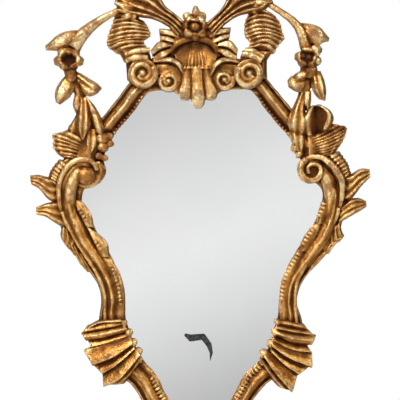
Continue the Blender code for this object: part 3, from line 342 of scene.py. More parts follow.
def rail(path, steps=ROW_STEPS):
    """A round rail along points of (column, row, depth of the centre line, radius)."""
    path = through(path, steps)
    rings = []
    for i, (x, y, depth, radius) in enumerate(path):
        nx, ny = sideways(path, i)
        ring = []
        for side in range(RAIL_SIDES):
            angle = 2 * math.pi * (side + 0.25) / RAIL_SIDES
            out, up = radius * math.cos(angle), radius * math.sin(angle)
            ring.append((x + nx * out, y + ny * out, depth + up))
        rings.append(ring)
    return loft(rings)


def drum(column, row, radius, front, top=0.8):
    """A round block from behind the wall plane to the front, a little narrower there."""
    solid = bmesh.new()
    place = Matrix.Translation(metres([(column, row, (front + BEHIND_WALL) / 2)])[0])
    bmesh.ops.create_cone(
        solid, cap_ends=True, segments=DRUM_SIDES, radius1=radius * SQUARE, radius2=radius * top * SQUARE,
        depth=(front - BEHIND_WALL) * SQUARE, matrix=place @ Matrix.Rotation(math.pi / 2, 4, "X"),
    )
    bmesh.ops.triangulate(solid, faces=solid.faces, ngon_method="EAR_CLIP")
    return solid


def ball(column, row, depth, radius, height):
    """A dome or button: a sphere whose depth is pressed or drawn out to the height."""
    solid = bmesh.new()
    place = Matrix.Translation(metres([(column, row, depth)])[0])
    size = Matrix.Diagonal((radius * SQUARE, height * SQUARE, radius * SQUARE, 1))
    upright = Matrix.Rotation(math.pi / 2, 4, "X")
    bmesh.ops.create_uvsphere(
        solid, u_segments=DRUM_SIDES, v_segments=DRUM_SIDES // 2, radius=1, matrix=place @ size @ upright
    )
    return solid


def scroll(column, row, radius, start, hand, front, turns=1.5):
    """A volute: a broad raised band that winds in to a button from the start angle, in degrees."""
    path = []
    for share in np.linspace(0, 1, SCROLL_POINTS):
        angle = math.radians(start + hand * 360 * turns * share)
        reach = radius * (0.79 - 0.5 * share)
        x, y = column + reach * math.cos(angle), row + reach * math.sin(angle)
        path.append((x, y, front - 0.22 * radius, radius * (0.22 - 0.06 * share)))
    return [
        drum(column, row, radius, front - 0.22 * radius, 0.88), rail(path),
        ball(column, row, front - 0.3 * radius, 0.22 * radius, 0.32 * radius),
    ]


def petals(column, row, shapes, front):
    """Petals about a sunk eye. A shape is the angle in degrees, the reach of the tip, and the width."""
    forms = []
    for i, (degrees, reach, width) in enumerate(shapes):
        x, y = math.cos(math.radians(degrees)), math.sin(math.radians(degrees))
        lift = PETAL_LIFT * i % PETAL_TIERS
        path = [
            (column + 0.3 * reach * x, row + 0.3 * reach * y, front + lift - 5),
            (column + 0.62 * reach * x, row + 0.62 * reach * y, front + lift),
            (column + reach * x, row + reach * y, front + lift - 5),
        ]
        forms.append(leaf(path, width, 8, 0.75))
    return forms


# The moulding that runs right round the glass, from the crest down the left side, round the foot and up the
# right side: (column, row) of its outer and of its inner edge, and its height
LEFT_SIDE = [
    (172, 66, 174, 92, 15), (146, 68, 154, 92, 16), (130, 82, 145, 97, 17), (116, 100, 134, 112, 17),
    (104, 115, 121, 127, 17), (90, 132, 111, 142, 17), (74, 152, 104, 158, 17), (62, 174, 93, 178, 18),
    (58, 192, 83, 192, 19), (58, 208, 83, 206, 19), (60, 225, 91, 219, 19), (68, 245, 99, 237, 19),
    (79, 259, 109, 252, 19), (90, 273, 117, 267, 18), (98, 286, 122, 282, 18), (101, 300, 125, 298, 18),
    (99, 318, 126, 314, 17), (98, 336, 131, 332, 16), (104, 354, 137, 347, 16), (116, 373, 146, 362, 17),
    (131, 385, 156, 374, 18), (141, 400, 165, 392, 18), (150, 415, 174, 405, 17), (162, 428, 184, 415, 16),
    (180, 438, 193, 421, 15),
]
FOOT = [(200, 441, 200, 423, 15)]
RIGHT_SIDE = [
    (220, 438, 207, 421, 15), (238, 428, 216, 415, 16), (247, 414, 226, 406, 17), (254, 399, 234, 394, 18),
    (266, 385, 244, 375, 18), (281, 373, 257, 362, 17), (294, 355, 267, 348, 16), (302, 337, 273, 333, 16),
    (302, 320, 277, 316, 17), (297, 303, 279, 299, 18), (301, 285, 281, 282, 18), (312, 270, 289, 265, 18),
    (325, 256, 297, 250, 19), (336, 242, 307, 235, 19), (342, 225, 315, 221, 19), (345, 208, 321, 206, 19),
    (345, 191, 322, 190, 19), (338, 170, 309, 177, 18), (324, 149, 299, 158, 17), (307, 128, 289, 138, 17),
    (293, 110, 276, 123, 17), (279, 93, 264, 108, 17), (265, 77, 253, 93, 17), (249, 67, 243, 90, 16),
    (224, 66, 222, 92, 15),
]
CREST_MIDDLE = [(198, 66, 198, 93, 15)]


def moulding_rows():
    """The moulding's rows, from just behind the wall plane to its height."""
    sides = LEFT_SIDE + FOOT + RIGHT_SIDE + CREST_MIDDLE
    return [(x1, y1, x2, y2, BEHIND_WALL, height) for x1, y1, x2, y2, height in sides]


def crest_block():
    """The flat block behind the shell, which carries the strap."""
    rows = [
        (180, 38, 212, 38), (166, 50, 228, 50), (156, 60, 238, 60), (154, 76, 240, 76), (160, 86, 232, 86),
    ]
    return [strip([(*row, BEHIND_WALL, 17) for row in rows], [(0, 0.9), (0.5, 1), (1, 0.9)])]


def volutes():
    """The four scrolls of the crest, and the rims that run from the outer ones over the inner ones."""
    forms = scroll(143, 73.5, 16.5, 330, 1, 27) + scroll(249, 74, 16, 210, -1, 27)
    forms += scroll(169, 81.5, 11.3, 200, -1, 24, 1.25) + scroll(224.5, 80, 11.6, 340, 1, 24, 1.25)
    return forms + panels([
        ([(152, 58), (161, 57.5), (171, 56.5), (180, 60.5), (187.5, 69)],
         [(153, 65), (162, 64), (170, 64.5), (176.5, 68.5), (181, 76)], (20, 24, 27.5, 27.5, 23), CROWN),
        ([(206.5, 72), (212, 62.5), (221, 57), (231, 57), (240, 59)],
         [(213, 78), (217.5, 70), (224, 65), (231, 64), (239, 66)], (23, 27.5, 27.5, 24, 20), CROWN),
        # The grounds under the rims, and the outer scrolls' flanks
        ([(156, 63), (168, 62), (180, 67)], [(157, 76), (168, 79), (181, 82)], (20, 21, 21), BAND),
        ([(212, 67), (224, 62), (237, 63)], [(212, 82), (224, 79), (236, 76)], (21, 21, 20), BAND),
        ([(256, 59), (256, 78)], [(267, 58), (267, 79)], (19, 20), CROWN),
        ([(126, 61), (127, 80)], [(138, 62), (136, 84)], (19, 20), CROWN),
    ])


def shell():
    """The shell: a dished hood under an arch, a ribbed lip, and lobes that hang over the glass."""
    hood = [(179, 43, 212, 43, 4, 19), (174, 53, 218, 53, 4, 20), (180, 66, 213, 66, 4, 24)]
    arch = [(171, 57, 17, 2.6), (174, 47, 20, 3), (183, 41, 22, 3.2), (195, 38.5, 23, 3.2)]
    arch += [(207, 41, 22, 3.2), (215, 47, 20, 3), (219, 57, 17, 2.6)]
    forms = [strip(hood, DISH), rail(arch)]
    for step in range(-4, 5):
        reach = HOOD_RIB_PITCH * step
        spread = ((0.45, 46, 15, 1), (0.9, 60, 19, 1.3), (1, 69, 22.4, 1.7))
        forms.append(rail([(196 + share * reach, *rest) for share, *rest in spread]))
    return forms + panels([
        ([(177, 70), (174, 81), (172, 90)], [(184, 69), (182, 82), (180, 95)], (19, 22, 19)),
        ([(182.5, 67), (180.5, 82), (178.3, 92), (180, 98.5), (183.5, 100)],
         [(191.7, 67), (192, 82), (191.8, 92), (190.5, 98), (187.5, 100)], (23, 24, 24.5, 23.5, 19)),
        ([(189.5, 67), (190.5, 84), (190.8, 97), (192.5, 104), (195.7, 108)],
         [(203.5, 67), (204.3, 84), (205.6, 97), (204.2, 104), (200.3, 108)], (24, 26, 27, 26, 21)),
        ([(201.4, 67), (203, 82), (204.3, 92), (205.5, 98), (208.5, 100)],
         [(210.3, 67), (213.8, 82), (217.5, 91), (216, 98), (212.5, 100)], (23, 24, 24.5, 23.5, 19)),
        ([(208, 69), (212, 82), (215, 95)], [(215, 70), (220, 81), (223, 90)], (19, 22, 19)),
    ], LOBE)


def rosette():
    """The flower at the top of the shell, with its bud."""
    ring = [
        (180, 14, 11), (228, 14, 10), (312, 14, 10), (0, 14, 11), (48, 14.5, 11), (132, 14.5, 11),
        (90, 13, 10), (270, 10, 12),
    ]
    forms = petals(195, 27, ring, 29)
    forms += [ball(195, 37, 24, 5, 5), ball(187, 17, 22, 4.4, 4.4), ball(201.5, 17, 22, 4.8, 4.6)]
    forms += [leaf([(195.5, 18, 25), (196, 13, 28), (195.5, 6.5, 24)], 9, 8, 0.5)]
    forms += [ball(195, 28, 25, 5.5, 4), ball(184, 33, 18, 6, 6), ball(206.5, 33, 18, 6, 6)]
    return forms + [drum(195, 28, 12, 22)]


def sprays():
    """The two big folded leaves that spread up and out from the flower and curl over at their ends."""
    left = [
        (186, 24, 178, 37, 16, 26), (176, 15, 168, 27, 15, 28), (166, 7, 154, 20, 14, 28),
        (159, -4, 138, 17, 10, 26), (147, -12, 126, 15, 8, 24), (133, -15, 117, 8, 7, 21),
        (122, -11, 115, -1, 7, 16),
    ]
    right = [
        (206, 24, 214, 37, 16, 26), (216, 15, 224, 26, 15, 28), (224, 5, 237, 17, 14, 28),
        (229, -6, 251, 13, 10, 26), (239, -13, 263, 11, 8, 24), (255, -15, 271, 3, 7, 21),
        (266, -11, 273, -5, 7, 16),
    ]
    forms = [strip(left, FOLDED), strip(right, FOLDED)]
    # The curled tips: where each spray's start, how far down they bend, and each one's end and width
    for column, row, bend, tips in (
        (138, 9, 5, ((114.5, 3, 8), (116, 10, 7), (121, 17, 8), (130, 18, 7))),
        (250, 5, 2, ((273, 2, 7), (263, 10, 7), (257, 14, 7))),
    ):
        for x, y, width in tips:
            path = [(column, row, 19), ((column + x) / 2, y * 0.6 + bend, 23), (x, y, 19)]
            forms.append(leaf(path, width, 8, 0.6))
    return forms


def wings():
    """The ribbed wings that stand on the outer scrolls, with the collars under them."""
    left = [
        (116, 14, 142, 20, 5, 18), (113.5, 22, 146, 25, 5, 20), (110.5, 31, 148.5, 30, 5, 22),
        (107.5, 41, 149.5, 36, 5, 23), (109, 47, 143, 41, 5, 22), (119, 54, 146, 47, 5, 20),
    ]
    right = [
        (250, 13, 273, 14, 5, 18), (246, 21, 279, 22, 5, 20), (245, 30, 281.5, 31, 5, 22),
        (246.5, 37, 283.5, 38, 5, 23), (251, 43, 278, 45, 5, 22), (247, 50, 273, 54, 5, 20),
    ]
    forms = [ribbed(left, CROWN, 9, 3, 1, -3), ribbed(right, CROWN, 9, 3, 1, -5)]
    for path in (
        [(125, 55, 18, 2.6), (137, 51.5, 21, 3.2), (150, 50, 20, 2.4)],
        [(126, 61, 19, 2.8), (137, 58, 22, 3.4), (148, 58.5, 21, 2.8)],
        [(245, 50, 19, 2.4), (254, 52, 21, 2.8), (264, 58, 20, 2.4)],
        [(241.5, 54, 19, 3), (251, 55.5, 22, 3.6), (261.5, 61.5, 21, 3)],
    ):
        forms.append(rail(path))
    return forms + panels([
        ([(118, 50), (124, 62)], [(148, 48), (152, 62)], (18, 20)),
        ([(243, 50), (239, 62)], [(272, 52), (266, 62)], (18, 20)),
    ], BAND)


def ribbons():
    """Two short broad creased bands that curl down on each side of the shell."""
    bands = [
        ([(159, 28.5), (168, 29.5), (180, 33)], [(160.5, 41), (169, 43), (178, 46)], (21, 25, 23)),
        ([(151, 50), (159, 42), (170, 42.5)], [(154, 62), (164, 59), (173, 52)], (20, 25, 22)),
        ([(231, 27.5), (221, 28.5), (209, 32)], [(229, 38.5), (220, 42), (211, 46)], (21, 25, 23)),
        ([(238, 49), (230, 40.5), (219, 42)], [(236, 61), (226, 58), (216, 52)], (20, 25, 22)),
    ]
    return panels(bands, CREASED) + [drum(182, 36, 9, 22), drum(208, 36, 9, 22)]


def stems():
    """The arched stems from the sprays down to the flowers, and the leaf that lies back at each end."""
    left = [
        (120, 10, 15, 3), (110, 15, 17, 3.6), (99, 21.5, 18, 4.4), (89, 29, 18, 5.6), (80, 38, 17, 7),
        (74, 48, 15, 7),
    ]
    right = [
        (267, 3, 15, 2.6), (279, 11, 17, 3.2), (289, 18, 18, 3.6), (297, 26, 18, 4.4), (302, 36, 17, 5),
        (306, 48, 15, 6),
    ]
    leaves = [
        ([(84, 31), (72, 30.5), (61, 33.5), (51, 41), (45, 46)],
         [(78, 42), (70, 46), (62, 50), (54, 50.5), (46.5, 50)], (18, 22, 23, 20, 15)),
        ([(300, 23), (310, 24), (319, 27), (325, 33), (329.5, 38)],
         [(305, 37), (311, 43), (319, 45), (324, 42), (328.5, 41.5)], (18, 22, 23, 20, 15)),
    ]
    return [rail(left), rail(right)] + panels(leaves, SOFT, 8)


def flowers():
    """The flower on each garland: petals, lips and cup."""
    left = [
        (172, 15, 12), (8, 15, 12), (228, 14, 12), (312, 13, 12), (270, 12, 12), (125, 12, 11),
        (55, 12, 11),
    ]
    right = [(180, 12.5, 11), (325, 17, 12), (278, 11, 13), (20, 12, 9), (60, 13, 8), (125, 12, 9)]
    forms = petals(69, 60, left, 24) + petals(307, 57, right, 24)
    for column, row, radius in (
        (70, 67, 6.5), (70.5, 72, 6.2), (71, 77, 5.4), (307, 50, 6), (316, 51, 4.5), (302, 57, 4.5),
        (308.5, 64, 8), (309, 70, 8.6), (317, 61, 4.5), (308.5, 58.5, 5),
    ):
        forms.append(ball(column, row, 17, radius, 5))
        forms.append(drum(column, row, radius, 15))
    forms += [drum(72, 47, 6, 15), drum(311, 45, 6, 15)]
    return forms + [drum(69, 61, 9, 19), drum(307, 59, 10, 19)]


def garlands():
    """The leaves, husks and buds that hang from the flowers to the shoulders, on a core of stalk."""
    forms = panels([
        ([(66, 75), (59, 83), (55.3, 92), (55.4, 102)], [(76, 77), (74.5, 88), (69.5, 97), (60, 104.5)],
         (17, 21, 23, 17), SOFT),
        ([(76, 71), (87, 77), (97, 83.5), (101.5, 88)], [(78, 84), (84, 94), (91, 96.5), (98, 93)],
         (17, 22, 24, 15), LEAF),
        ([(74, 95), (73, 105), (76, 114)], [(80, 94), (81.5, 105), (79, 115)], (15, 19, 14), SOFT),
        ([(79, 98), (77.5, 113), (76, 127), (81, 138.5)], [(88, 98), (90, 113), (90.5, 127), (84.5, 141)],
         (17, 22, 24, 20), LEAF),
        ([(85, 96), (89, 110), (93, 123), (96, 132)], [(91, 101), (99, 113), (103.5, 126), (105, 136)],
         (17, 20, 23, 21), SOFT),
        ([(85, 128), (84, 142), (88, 153)], [(98, 130), (98.5, 142), (92, 155)], (17, 20, 17), LEAF),
        ([(77, 112), (73, 120), (68.5, 128)], [(82, 116), (80, 126), (76, 136)], (14, 17, 17), SOFT),
        ([(309, 75), (300, 76), (292, 76), (287.5, 80.5)], [(309, 84), (303, 91), (296, 91.5), (288.5, 87)],
         (15, 19, 20, 16), SOFT),
        ([(310, 69.5), (302, 70.5), (296, 73.5), (293.5, 77)], [(308, 77), (304, 80), (300, 82), (296, 83)],
         (20, 25, 25, 20), SOFT),
        ([(311, 71), (311, 80), (312.5, 90), (319, 99)], [(320.5, 71), (324, 80), (326, 91), (325.5, 101)],
         (17, 22, 24, 17), LEAF),
        ([(304, 92), (303, 102), (306.5, 110.5)], [(311, 91), (311, 102), (309, 111.5)], (18, 21, 16), SOFT),
        ([(301, 90), (293.5, 106), (287.5, 121), (290, 131)],
         [(307, 94), (305, 111), (309, 123), (305, 136)], (16, 21, 24, 20), LEAF),
        ([(289, 128), (290.5, 138), (296, 151)], [(304, 130), (305.5, 141), (303, 153)], (18, 21, 17), LEAF),
        ([(312, 105.5), (306, 113), (303.5, 122), (307, 136)],
         [(319, 104.5), (328, 110), (332, 120), (327, 132)], (15, 20, 22, 17), CUP),
        ([(316, 106), (321.5, 108.5), (325, 117), (321, 131)],
         [(320, 104.5), (329.5, 110), (333.5, 119.5), (328.5, 130)], (18, 23, 24, 18), SOFT),
    ], back=6)
    left_stalk = [(71, 70, 12, 4), (77, 86, 11, 5), (82, 104, 11, 5), (89, 124, 10, 5), (92, 144, 9, 5)]
    right_stalk = [
        (309, 68, 12, 4), (306, 86, 11, 5), (301, 104, 10, 5), (300, 126, 10, 6), (303, 146, 9, 6),
    ]
    forms += [rail(left_stalk), rail(right_stalk)]
    return forms + [drum(95, 134, 8, 10), drum(302, 140, 10, 12)]


def shoulders():
    """The ribbed fans at the shoulders, outside the garlands' ends, on the plain necks above the scrolls."""
    left = [
        (71, 124, 85, 134, 2, 17), (66, 131, 86, 143, 2, 19), (53, 134.5, 86, 148, 2, 21),
        (54, 141, 86, 151, 2, 21), (53.5, 147, 85, 154, 2, 20), (58, 154, 82, 158, 2, 19),
        (64, 158, 80, 160, 2, 18),
    ]
    right = [
        (331, 124, 308, 139, 2, 18), (345, 127, 308, 143, 2, 20), (345.5, 133, 310, 147, 2, 20),
        (342, 142, 312, 151, 2, 20), (337, 149, 315, 154, 2, 19), (334, 154, 317, 157, 2, 18),
    ]
    forms = [ribbed(left, SOFT, 8, 2.6, 1, -1), ribbed(right, SOFT, 9, 2.4, 1, 2)]
    forms += panels([
        ([(76, 138), (68, 162)], [(98, 140), (97, 168)], (18, 19)),
        ([(314, 130), (319, 142), (325, 160)], [(303, 131), (304, 142), (302, 166)], (13, 17, 19)),
    ], CROWN)
    forms.append(leaf([(300, 142, 14), (295, 148, 18), (291, 146, 15)], 9, 17, 0.6))
    forms.append(leaf([(303, 148, 14), (299, 154, 18), (296, 157, 15)], 9, 17, 0.6))
    # The cluster of small curls between the left shoulder and the glass
    for column, row, radius in (
        (103, 138, 7), (109, 136, 4), (110, 143.5, 3.8), (103, 147, 5.5), (99, 156, 3.6), (104.5, 158, 3.4),
    ):
        forms.append(drum(column, row, radius, 15))
        forms.append(ball(column, row, 15, 0.96 * radius, 0.7 * radius))
    return forms


def arm_scrolls():
    """The scroll at the head of each arm: the torus curls over into a ball under a rim."""
    forms = [drum(86, 173, 18, 15), ball(86, 175.5, 15, 9.4, 7), drum(312, 172, 13, 18)]
    left_torus = [
        (70, 226, 9, 5.6), (69.5, 205, 12, 6.4), (70, 190, 13.5, 6.4), (74, 179, 14, 6.4),
        (79, 173, 14, 6.4), (86, 171, 14, 5.4),
    ]
    forms.append(rail(left_torus))
    rim = [
        (62, 216, 12, 2), (59.5, 202, 15.5, 2.4), (59, 187, 17.5, 2.6), (62.5, 175, 19.5, 2.7),
        (68.5, 166, 21, 2.8),
    ]
    rim += [(76.5, 160.5, 22, 2.8), (86, 159.5, 22, 2.7), (93.5, 163, 21, 2.5), (97.5, 170, 18, 2.2)]
    forms.append(rail(rim))
    forms += panels([
        ([(93, 163), (96, 173), (90, 184)], [(103, 160), (105.8, 172), (100, 183.5)], (15, 17, 12), SOFT),
        ([(60, 208), (60, 190), (64, 176), (72, 166), (86, 161)],
         [(70, 208), (69, 192), (72, 180), (79, 171), (90, 167)], (14, 16, 17, 18, 18), BAND),
        ([(339, 208), (339, 192), (335, 178), (327, 168), (316, 161)],
         [(330, 208), (330, 193), (328, 183), (322, 174), (314, 168)], (14, 16, 17, 18, 18), BAND),
    ])
    for ridge in (
        [(62, 212), (66, 222), (72.5, 234), (82, 250), (92, 265), (100, 280), (104.5, 296), (105, 326)],
        [(338.5, 208), (336.5, 216), (331, 227), (324, 238), (314, 252), (304, 267), (297, 282), (295, 300),
         (297, 326)],
    ):
        forms.append(rail([(x, y, RIDGE_DEPTH, RIDGE_RADIUS) for x, y in ridge]))
    forms += panels([
        ([(49, 182), (52, 171), (62, 160), (74, 155)], [(60, 188), (62, 178), (70, 168), (80, 161)],
         (13, 14, 15, 15)),
        ([(300, 160), (310, 154.5), (322, 154.5), (332, 161), (340, 170), (345, 181), (344.5, 196),
          (342, 208)],
         [(304, 164), (313, 160), (320.5, 161), (328.5, 168), (334.5, 176), (338, 185), (338.5, 197),
          (337.5, 208)], (18, 20, 22, 24.5, 27, 26, 21, 15)),
    ], BAND)
    turn = [(306, 159, 19, 3), (301.5, 165, 19, 3.2), (301.5, 173.5, 19, 3.4), (307, 179.5, 19, 3.4)]
    turn += [(315, 179.5, 19, 3.2), (320, 173.5, 19, 3), (319, 166.5, 18, 2.6), (312.5, 164.5, 18, 2.4)]
    turn += [(308, 168, 18, 2.2), (309, 173.5, 18, 2.2)]
    forms.append(rail(turn))
    right_torus = [
        (328, 226, 9, 5.6), (330.5, 208, 12, 6.2), (330.5, 194, 13.5, 6.2), (328.5, 183, 13.5, 6.4),
        (324, 174, 13, 6), (319, 167, 12, 4),
    ]
    forms.append(rail(right_torus))
    teeth_left = [(48.5, 181, 58, 186, 2, 17), (51, 171, 61, 177, 2, 18), (60, 159, 69, 166, 2, 19)]
    teeth_right = [(351, 174, 343, 180, 2, 17), (347, 163, 337, 169, 2, 18), (338, 151, 327, 158, 2, 19)]
    forms += [ribbed(teeth_left, CROWN, 7, 2, 0.9), ribbed(teeth_right, CROWN, 7, 2, 1)]
    return forms


def arm_lips():
    """The low scalloped lips along the glass side of each arm."""
    return panels([
        ([(73, 198), (79, 212), (86, 226)], [(84, 203), (90.5, 213), (94.5, 228)], (14, 16.5, 15)),
        ([(86, 226), (95, 243), (101, 257)], [(97, 233), (107, 242.5), (109.5, 257)], (14, 16.5, 15)),
        ([(101, 257), (110, 275), (115, 296), (115.5, 326)],
         [(112, 260), (120.5, 275), (125, 296), (124.5, 326)], (14, 16.5, 16.5, 15)),
        ([(331, 198), (328, 210), (322, 224)], [(323, 200), (319, 209), (315.5, 224)], (14, 16.5, 15)),
        ([(322, 222), (315, 238), (307, 252)], [(312, 226), (304, 237), (298, 250)], (14, 16.5, 15)),
        ([(307, 250), (296, 270), (290, 292), (289, 326)],
         [(297, 250), (287, 268), (280, 292), (278.5, 326)], (14, 16.5, 16.5, 15)),
    ], LIP)


def arm_leaves():
    """The notched leaves along the outside of each arm."""
    return panels([
        ([(59, 178), (49, 177.5), (39, 175), (30, 175.5)],
         [(60, 203), (49, 200), (39.5, 189.5), (31, 184.5)], (15, 18, 17, 14)),
        ([(60, 200), (51, 202), (44, 204), (36, 207)], [(68, 230), (55, 223), (46, 217), (36, 214.5)],
         (15, 18, 17, 14)),
        ([(62, 226), (60.5, 234), (61.5, 240)], [(72, 232), (76, 244), (69, 250)], (15, 16, 13)),
        ([(342, 176), (351, 174.5), (360, 169), (370, 169)],
         [(342, 204), (352, 198), (361, 187), (370.5, 177)], (15, 18, 17, 14)),
        ([(342, 206), (350, 199.5), (359, 198), (366.5, 201)],
         [(338, 224), (350, 217), (359, 211.5), (366.5, 206.5)], (15, 18, 17, 14)),
        ([(65, 236), (68, 247), (73.5, 255.5)], [(73, 240), (78, 250), (80, 256)], (14, 15, 12)),
        ([(73, 250), (79, 263), (87.5, 272.5)], [(82, 254), (88, 264), (92, 270)], (14, 15, 12)),
        ([(339, 240), (333.5, 247), (329.5, 254)], [(329, 240), (324, 247), (322, 254)], (14, 15, 12)),
        ([(328, 251), (321, 260), (313.5, 268)], [(318, 254), (311, 262), (307, 268)], (14, 15, 12)),
        ([(340, 222), (342, 231), (344.5, 236)], [(330, 232), (330, 246), (340, 241.5)], (15, 16, 13)),
    ], VEINED, 2)


def knuckles():
    """The pleated knuckle on each arm. A fold runs from its tip outside the arm to its end at the glass."""
    forms = panels([
        ([(89, 325.5), (100, 320), (120, 318)], [(88, 329), (101, 324), (123, 323)], (20, 22, 21), CROWN),
        ([(87, 326), (104, 321), (123, 320)], [(81, 334.5), (104, 331.5), (125, 327)], (19, 21, 20), SOFT),
        ([(81.5, 332.5), (104, 329), (125, 324.5)], [(86, 341), (107, 337.5), (128, 331.5)], (21, 24, 23),
         PLEAT),
        ([(87, 339), (107, 335.5), (129, 329.5)], [(92, 347.5), (108, 343), (131, 335.5)], (19, 21, 21),
         PLANE),
        ([(83.5, 350), (107, 341.5), (130, 334)], [(93, 366), (114, 358), (133, 344.5)],
         (21, 26, 25), PLANE),
        ([(93, 364.5), (114, 356), (133, 343)], [(103, 374.5), (118, 364.5), (135, 349)], (20, 24, 24),
         PLANE),
        ([(102.5, 373), (118, 362), (134, 347)], [(103.5, 387), (121, 379), (141, 355)],
         (21, 26, 26), PLANE),
        ([(106, 385), (122, 376), (139, 354)], [(124, 384), (132, 375), (143, 360)], (15, 18, 19), CROWN),
        ([(304, 324), (290, 320), (277, 319)], [(309, 331), (292, 328), (276, 325)], (18, 21, 20), PLEAT),
        ([(309, 330), (292, 327), (276, 323)], [(316, 338), (294, 335), (275, 331)], (19, 21, 21), PLEAT),
        ([(316, 335), (294, 333), (276, 329)], [(312, 345), (292, 343), (276, 336)], (22, 25, 23), PLEAT),
        ([(307, 345), (290, 341), (274, 335)], [(312, 353), (292, 350), (273, 341)], (19, 22, 22), PLANE),
        ([(312, 352), (292, 348), (272, 338)], [(312, 368), (290, 359), (272, 347)], (21, 26, 25), PLANE),
        ([(310, 366), (290, 357), (272, 346)], [(298, 375), (284, 365), (270, 351)], (20, 24, 24), PLANE),
        ([(297, 375), (283, 364), (267, 350)], [(292, 393), (276, 375), (263, 356)], (21, 25, 25), PLANE),
        ([(291, 391), (275, 373), (262, 355)], [(278, 387), (268, 375), (259, 361)], (15, 18, 19), CROWN),
    ])
    for column, row, radius in (
        (124, 323, 3.4), (129, 333, 4), (133, 343, 4.4), (138, 352, 4.6),
        (277, 322, 3.2), (275, 332, 4), (271, 344, 4.4), (264, 354, 4.6),
    ):
        forms.append(drum(column, row, radius, 18))
        forms.append(ball(column, row, 18, 0.96 * radius, 4))
    return forms


def foot():
    """The two scrolls and the plain pendant leaf that close the frame below."""
    forms = scroll(178, 434, 12, 300, -1, 22, 1.1) + scroll(222, 434, 12, 240, 1, 22, 1.1)
    pendant = [
        (190, 428, 210, 428, BEHIND_WALL, 24), (184, 441, 216, 441, BEHIND_WALL, 24),
        (190, 455, 210, 455, BEHIND_WALL, 20), (198, 466, 202, 466, BEHIND_WALL, 12),
    ]
    return forms + [strip(pendant, FOLDED)]


def carving():
    """Every carved form but the moulding."""
    parts = (
        crest_block, volutes, shell, rosette, sprays, wings, ribbons, stems, flowers, garlands, shoulders,
        arm_scrolls, arm_lips, arm_leaves, knuckles, foot,
    )
    return [form for part in parts for form in part()]


def sight_outline(margin):
    """The edge of the glass opening as grid points, moved out under the moulding by the margin in metres."""
    edge = np.array(moulding_rows(), float)[:, 2:4]
    along = np.roll(edge, -1, 0) - np.roll(edge, 1, 0)
    outward = np.column_stack([-along[:, 1], along[:, 0]]) / np.linalg.norm(along, axis=1)[:, None]
    return edge - outward * margin / SQUARE * turning(edge)


def turning(edge):
    """1 where a closed outline runs clockwise as seen, otherwise -1."""
    later = np.roll(edge, -1, 0)
    return math.copysign(1, np.sum(edge[:, 0] * later[:, 1] - later[:, 0] * edge[:, 1]))


def slab(outline, back, front):
    """A flat piece of an outline between two depths in metres."""
    return loft([[(x, y, depth / SQUARE) for x, y in outline] for depth in (back, front)])


def block(width, height, back, front):
    """A box centred on the origin's column, between two depths in metres."""
    solid = bmesh.new()
    place = Matrix.Translation((0, -(back + front) / 2, 0))
    bmesh.ops.create_cube(solid, size=1, matrix=place @ Matrix.Diagonal((width, front - back, height, 1)))
    return solid


def bore(diameter, back, front, rise):
    """A round cutter between two depths in metres."""
    solid = bmesh.new()
    place = Matrix.Translation((0, -(back + front) / 2, rise)) @ Matrix.Rotation(math.pi / 2, 4, "X")
    bmesh.ops.create_cone(
        solid, cap_ends=True, segments=ROUND_SIDES, radius1=diameter / 2, radius2=diameter / 2,
        depth=front - back, matrix=place,
    )
    return solid


def add_object(name, solid, collection=None):
    """A new object from a bmesh. Without a collection it joins the scene's own."""
    mesh = bpy.data.meshes.new(name)
    solid.to_mesh(mesh)
    solid.free()
    piece = bpy.data.objects.new(name, mesh)
    (collection or bpy.context.scene.collection).objects.link(piece)
    return piece


def evaluated_mesh(piece):
    """The piece's mesh with its modifiers applied. The piece itself is removed."""
    whole = piece.evaluated_get(bpy.context.evaluated_depsgraph_get())
    mesh = bpy.data.meshes.new_from_object(whole)
    bpy.data.objects.remove(piece)
    return mesh


def beading():
    """The short gadroons and beads along the inner edge of the moulding."""
    sides = LEFT_SIDE + FOOT + RIGHT_SIDE
    edge = resample([(x2, y2, x1, y1, height) for x1, y1, x2, y2, height in sides], BEAD_SAMPLES)
    run = np.concatenate([[0], np.cumsum(np.linalg.norm(np.diff(edge[:, :2], axis=0), axis=1))])
    stops = np.linspace(0, run[-1], int(run[-1] / BEAD_PITCH))
    forms = []
    for x, y, far_x, far_y, height in zip(*(np.interp(stops, run, column) for column in edge.T)):
        for low, high, side, length, inset, share in BEADED:
            if low < y < high and (x - CENTRE_COLUMN) * side > 0:
                way = np.array([far_x - x, far_y - y]) / math.hypot(far_x - x, far_y - y)
                lean = np.array([-way[1], way[0]]) * BEAD_LEAN * side
                near = np.array([x, y]) + inset * way
                far = near + length * way + lean
                deep = height * share
                line = ((*near, deep), (*(near + far) / 2, deep + 1), (*far, deep))
                forms.append(rail([(*point, radius) for point, radius in zip(line, BEAD_RADII)], 2))
    return forms


def joined_forms():
    """The moulding and the carving as one fine skin, joined by voxels."""
    joined = bmesh.new()
    for form in [strip(moulding_rows(), MOULDING, closed=True)] + carving() + beading():
        mesh = bpy.data.meshes.new("form")
        form.to_mesh(mesh)
        form.free()
        joined.from_mesh(mesh)
        bpy.data.meshes.remove(mesh)
    forms = add_object("forms", joined)
    remesh = forms.modifiers.new("Join", "REMESH")
    remesh.mode = "VOXEL"
    remesh.voxel_size = GRAIN
    smooth = forms.modifiers.new("Soften", "SMOOTH")
    smooth.iterations = SOFTEN_STEPS
    return largest_skin(evaluated_mesh(forms))


def links(mesh):
    """The mesh's edges as pairs of vertex numbers."""
    edges = np.empty(2 * len(mesh.edges), np.int32)
    mesh.edges.foreach_get("vertices", edges)
    return edges.reshape(-1, 2)


def places(mesh, what="co"):
    """Each vertex's place, or its normal."""
    values = np.empty(3 * len(mesh.vertices), np.float32)
    mesh.vertices.foreach_get(what, values)
    return values.reshape(-1, 3).astype(float)


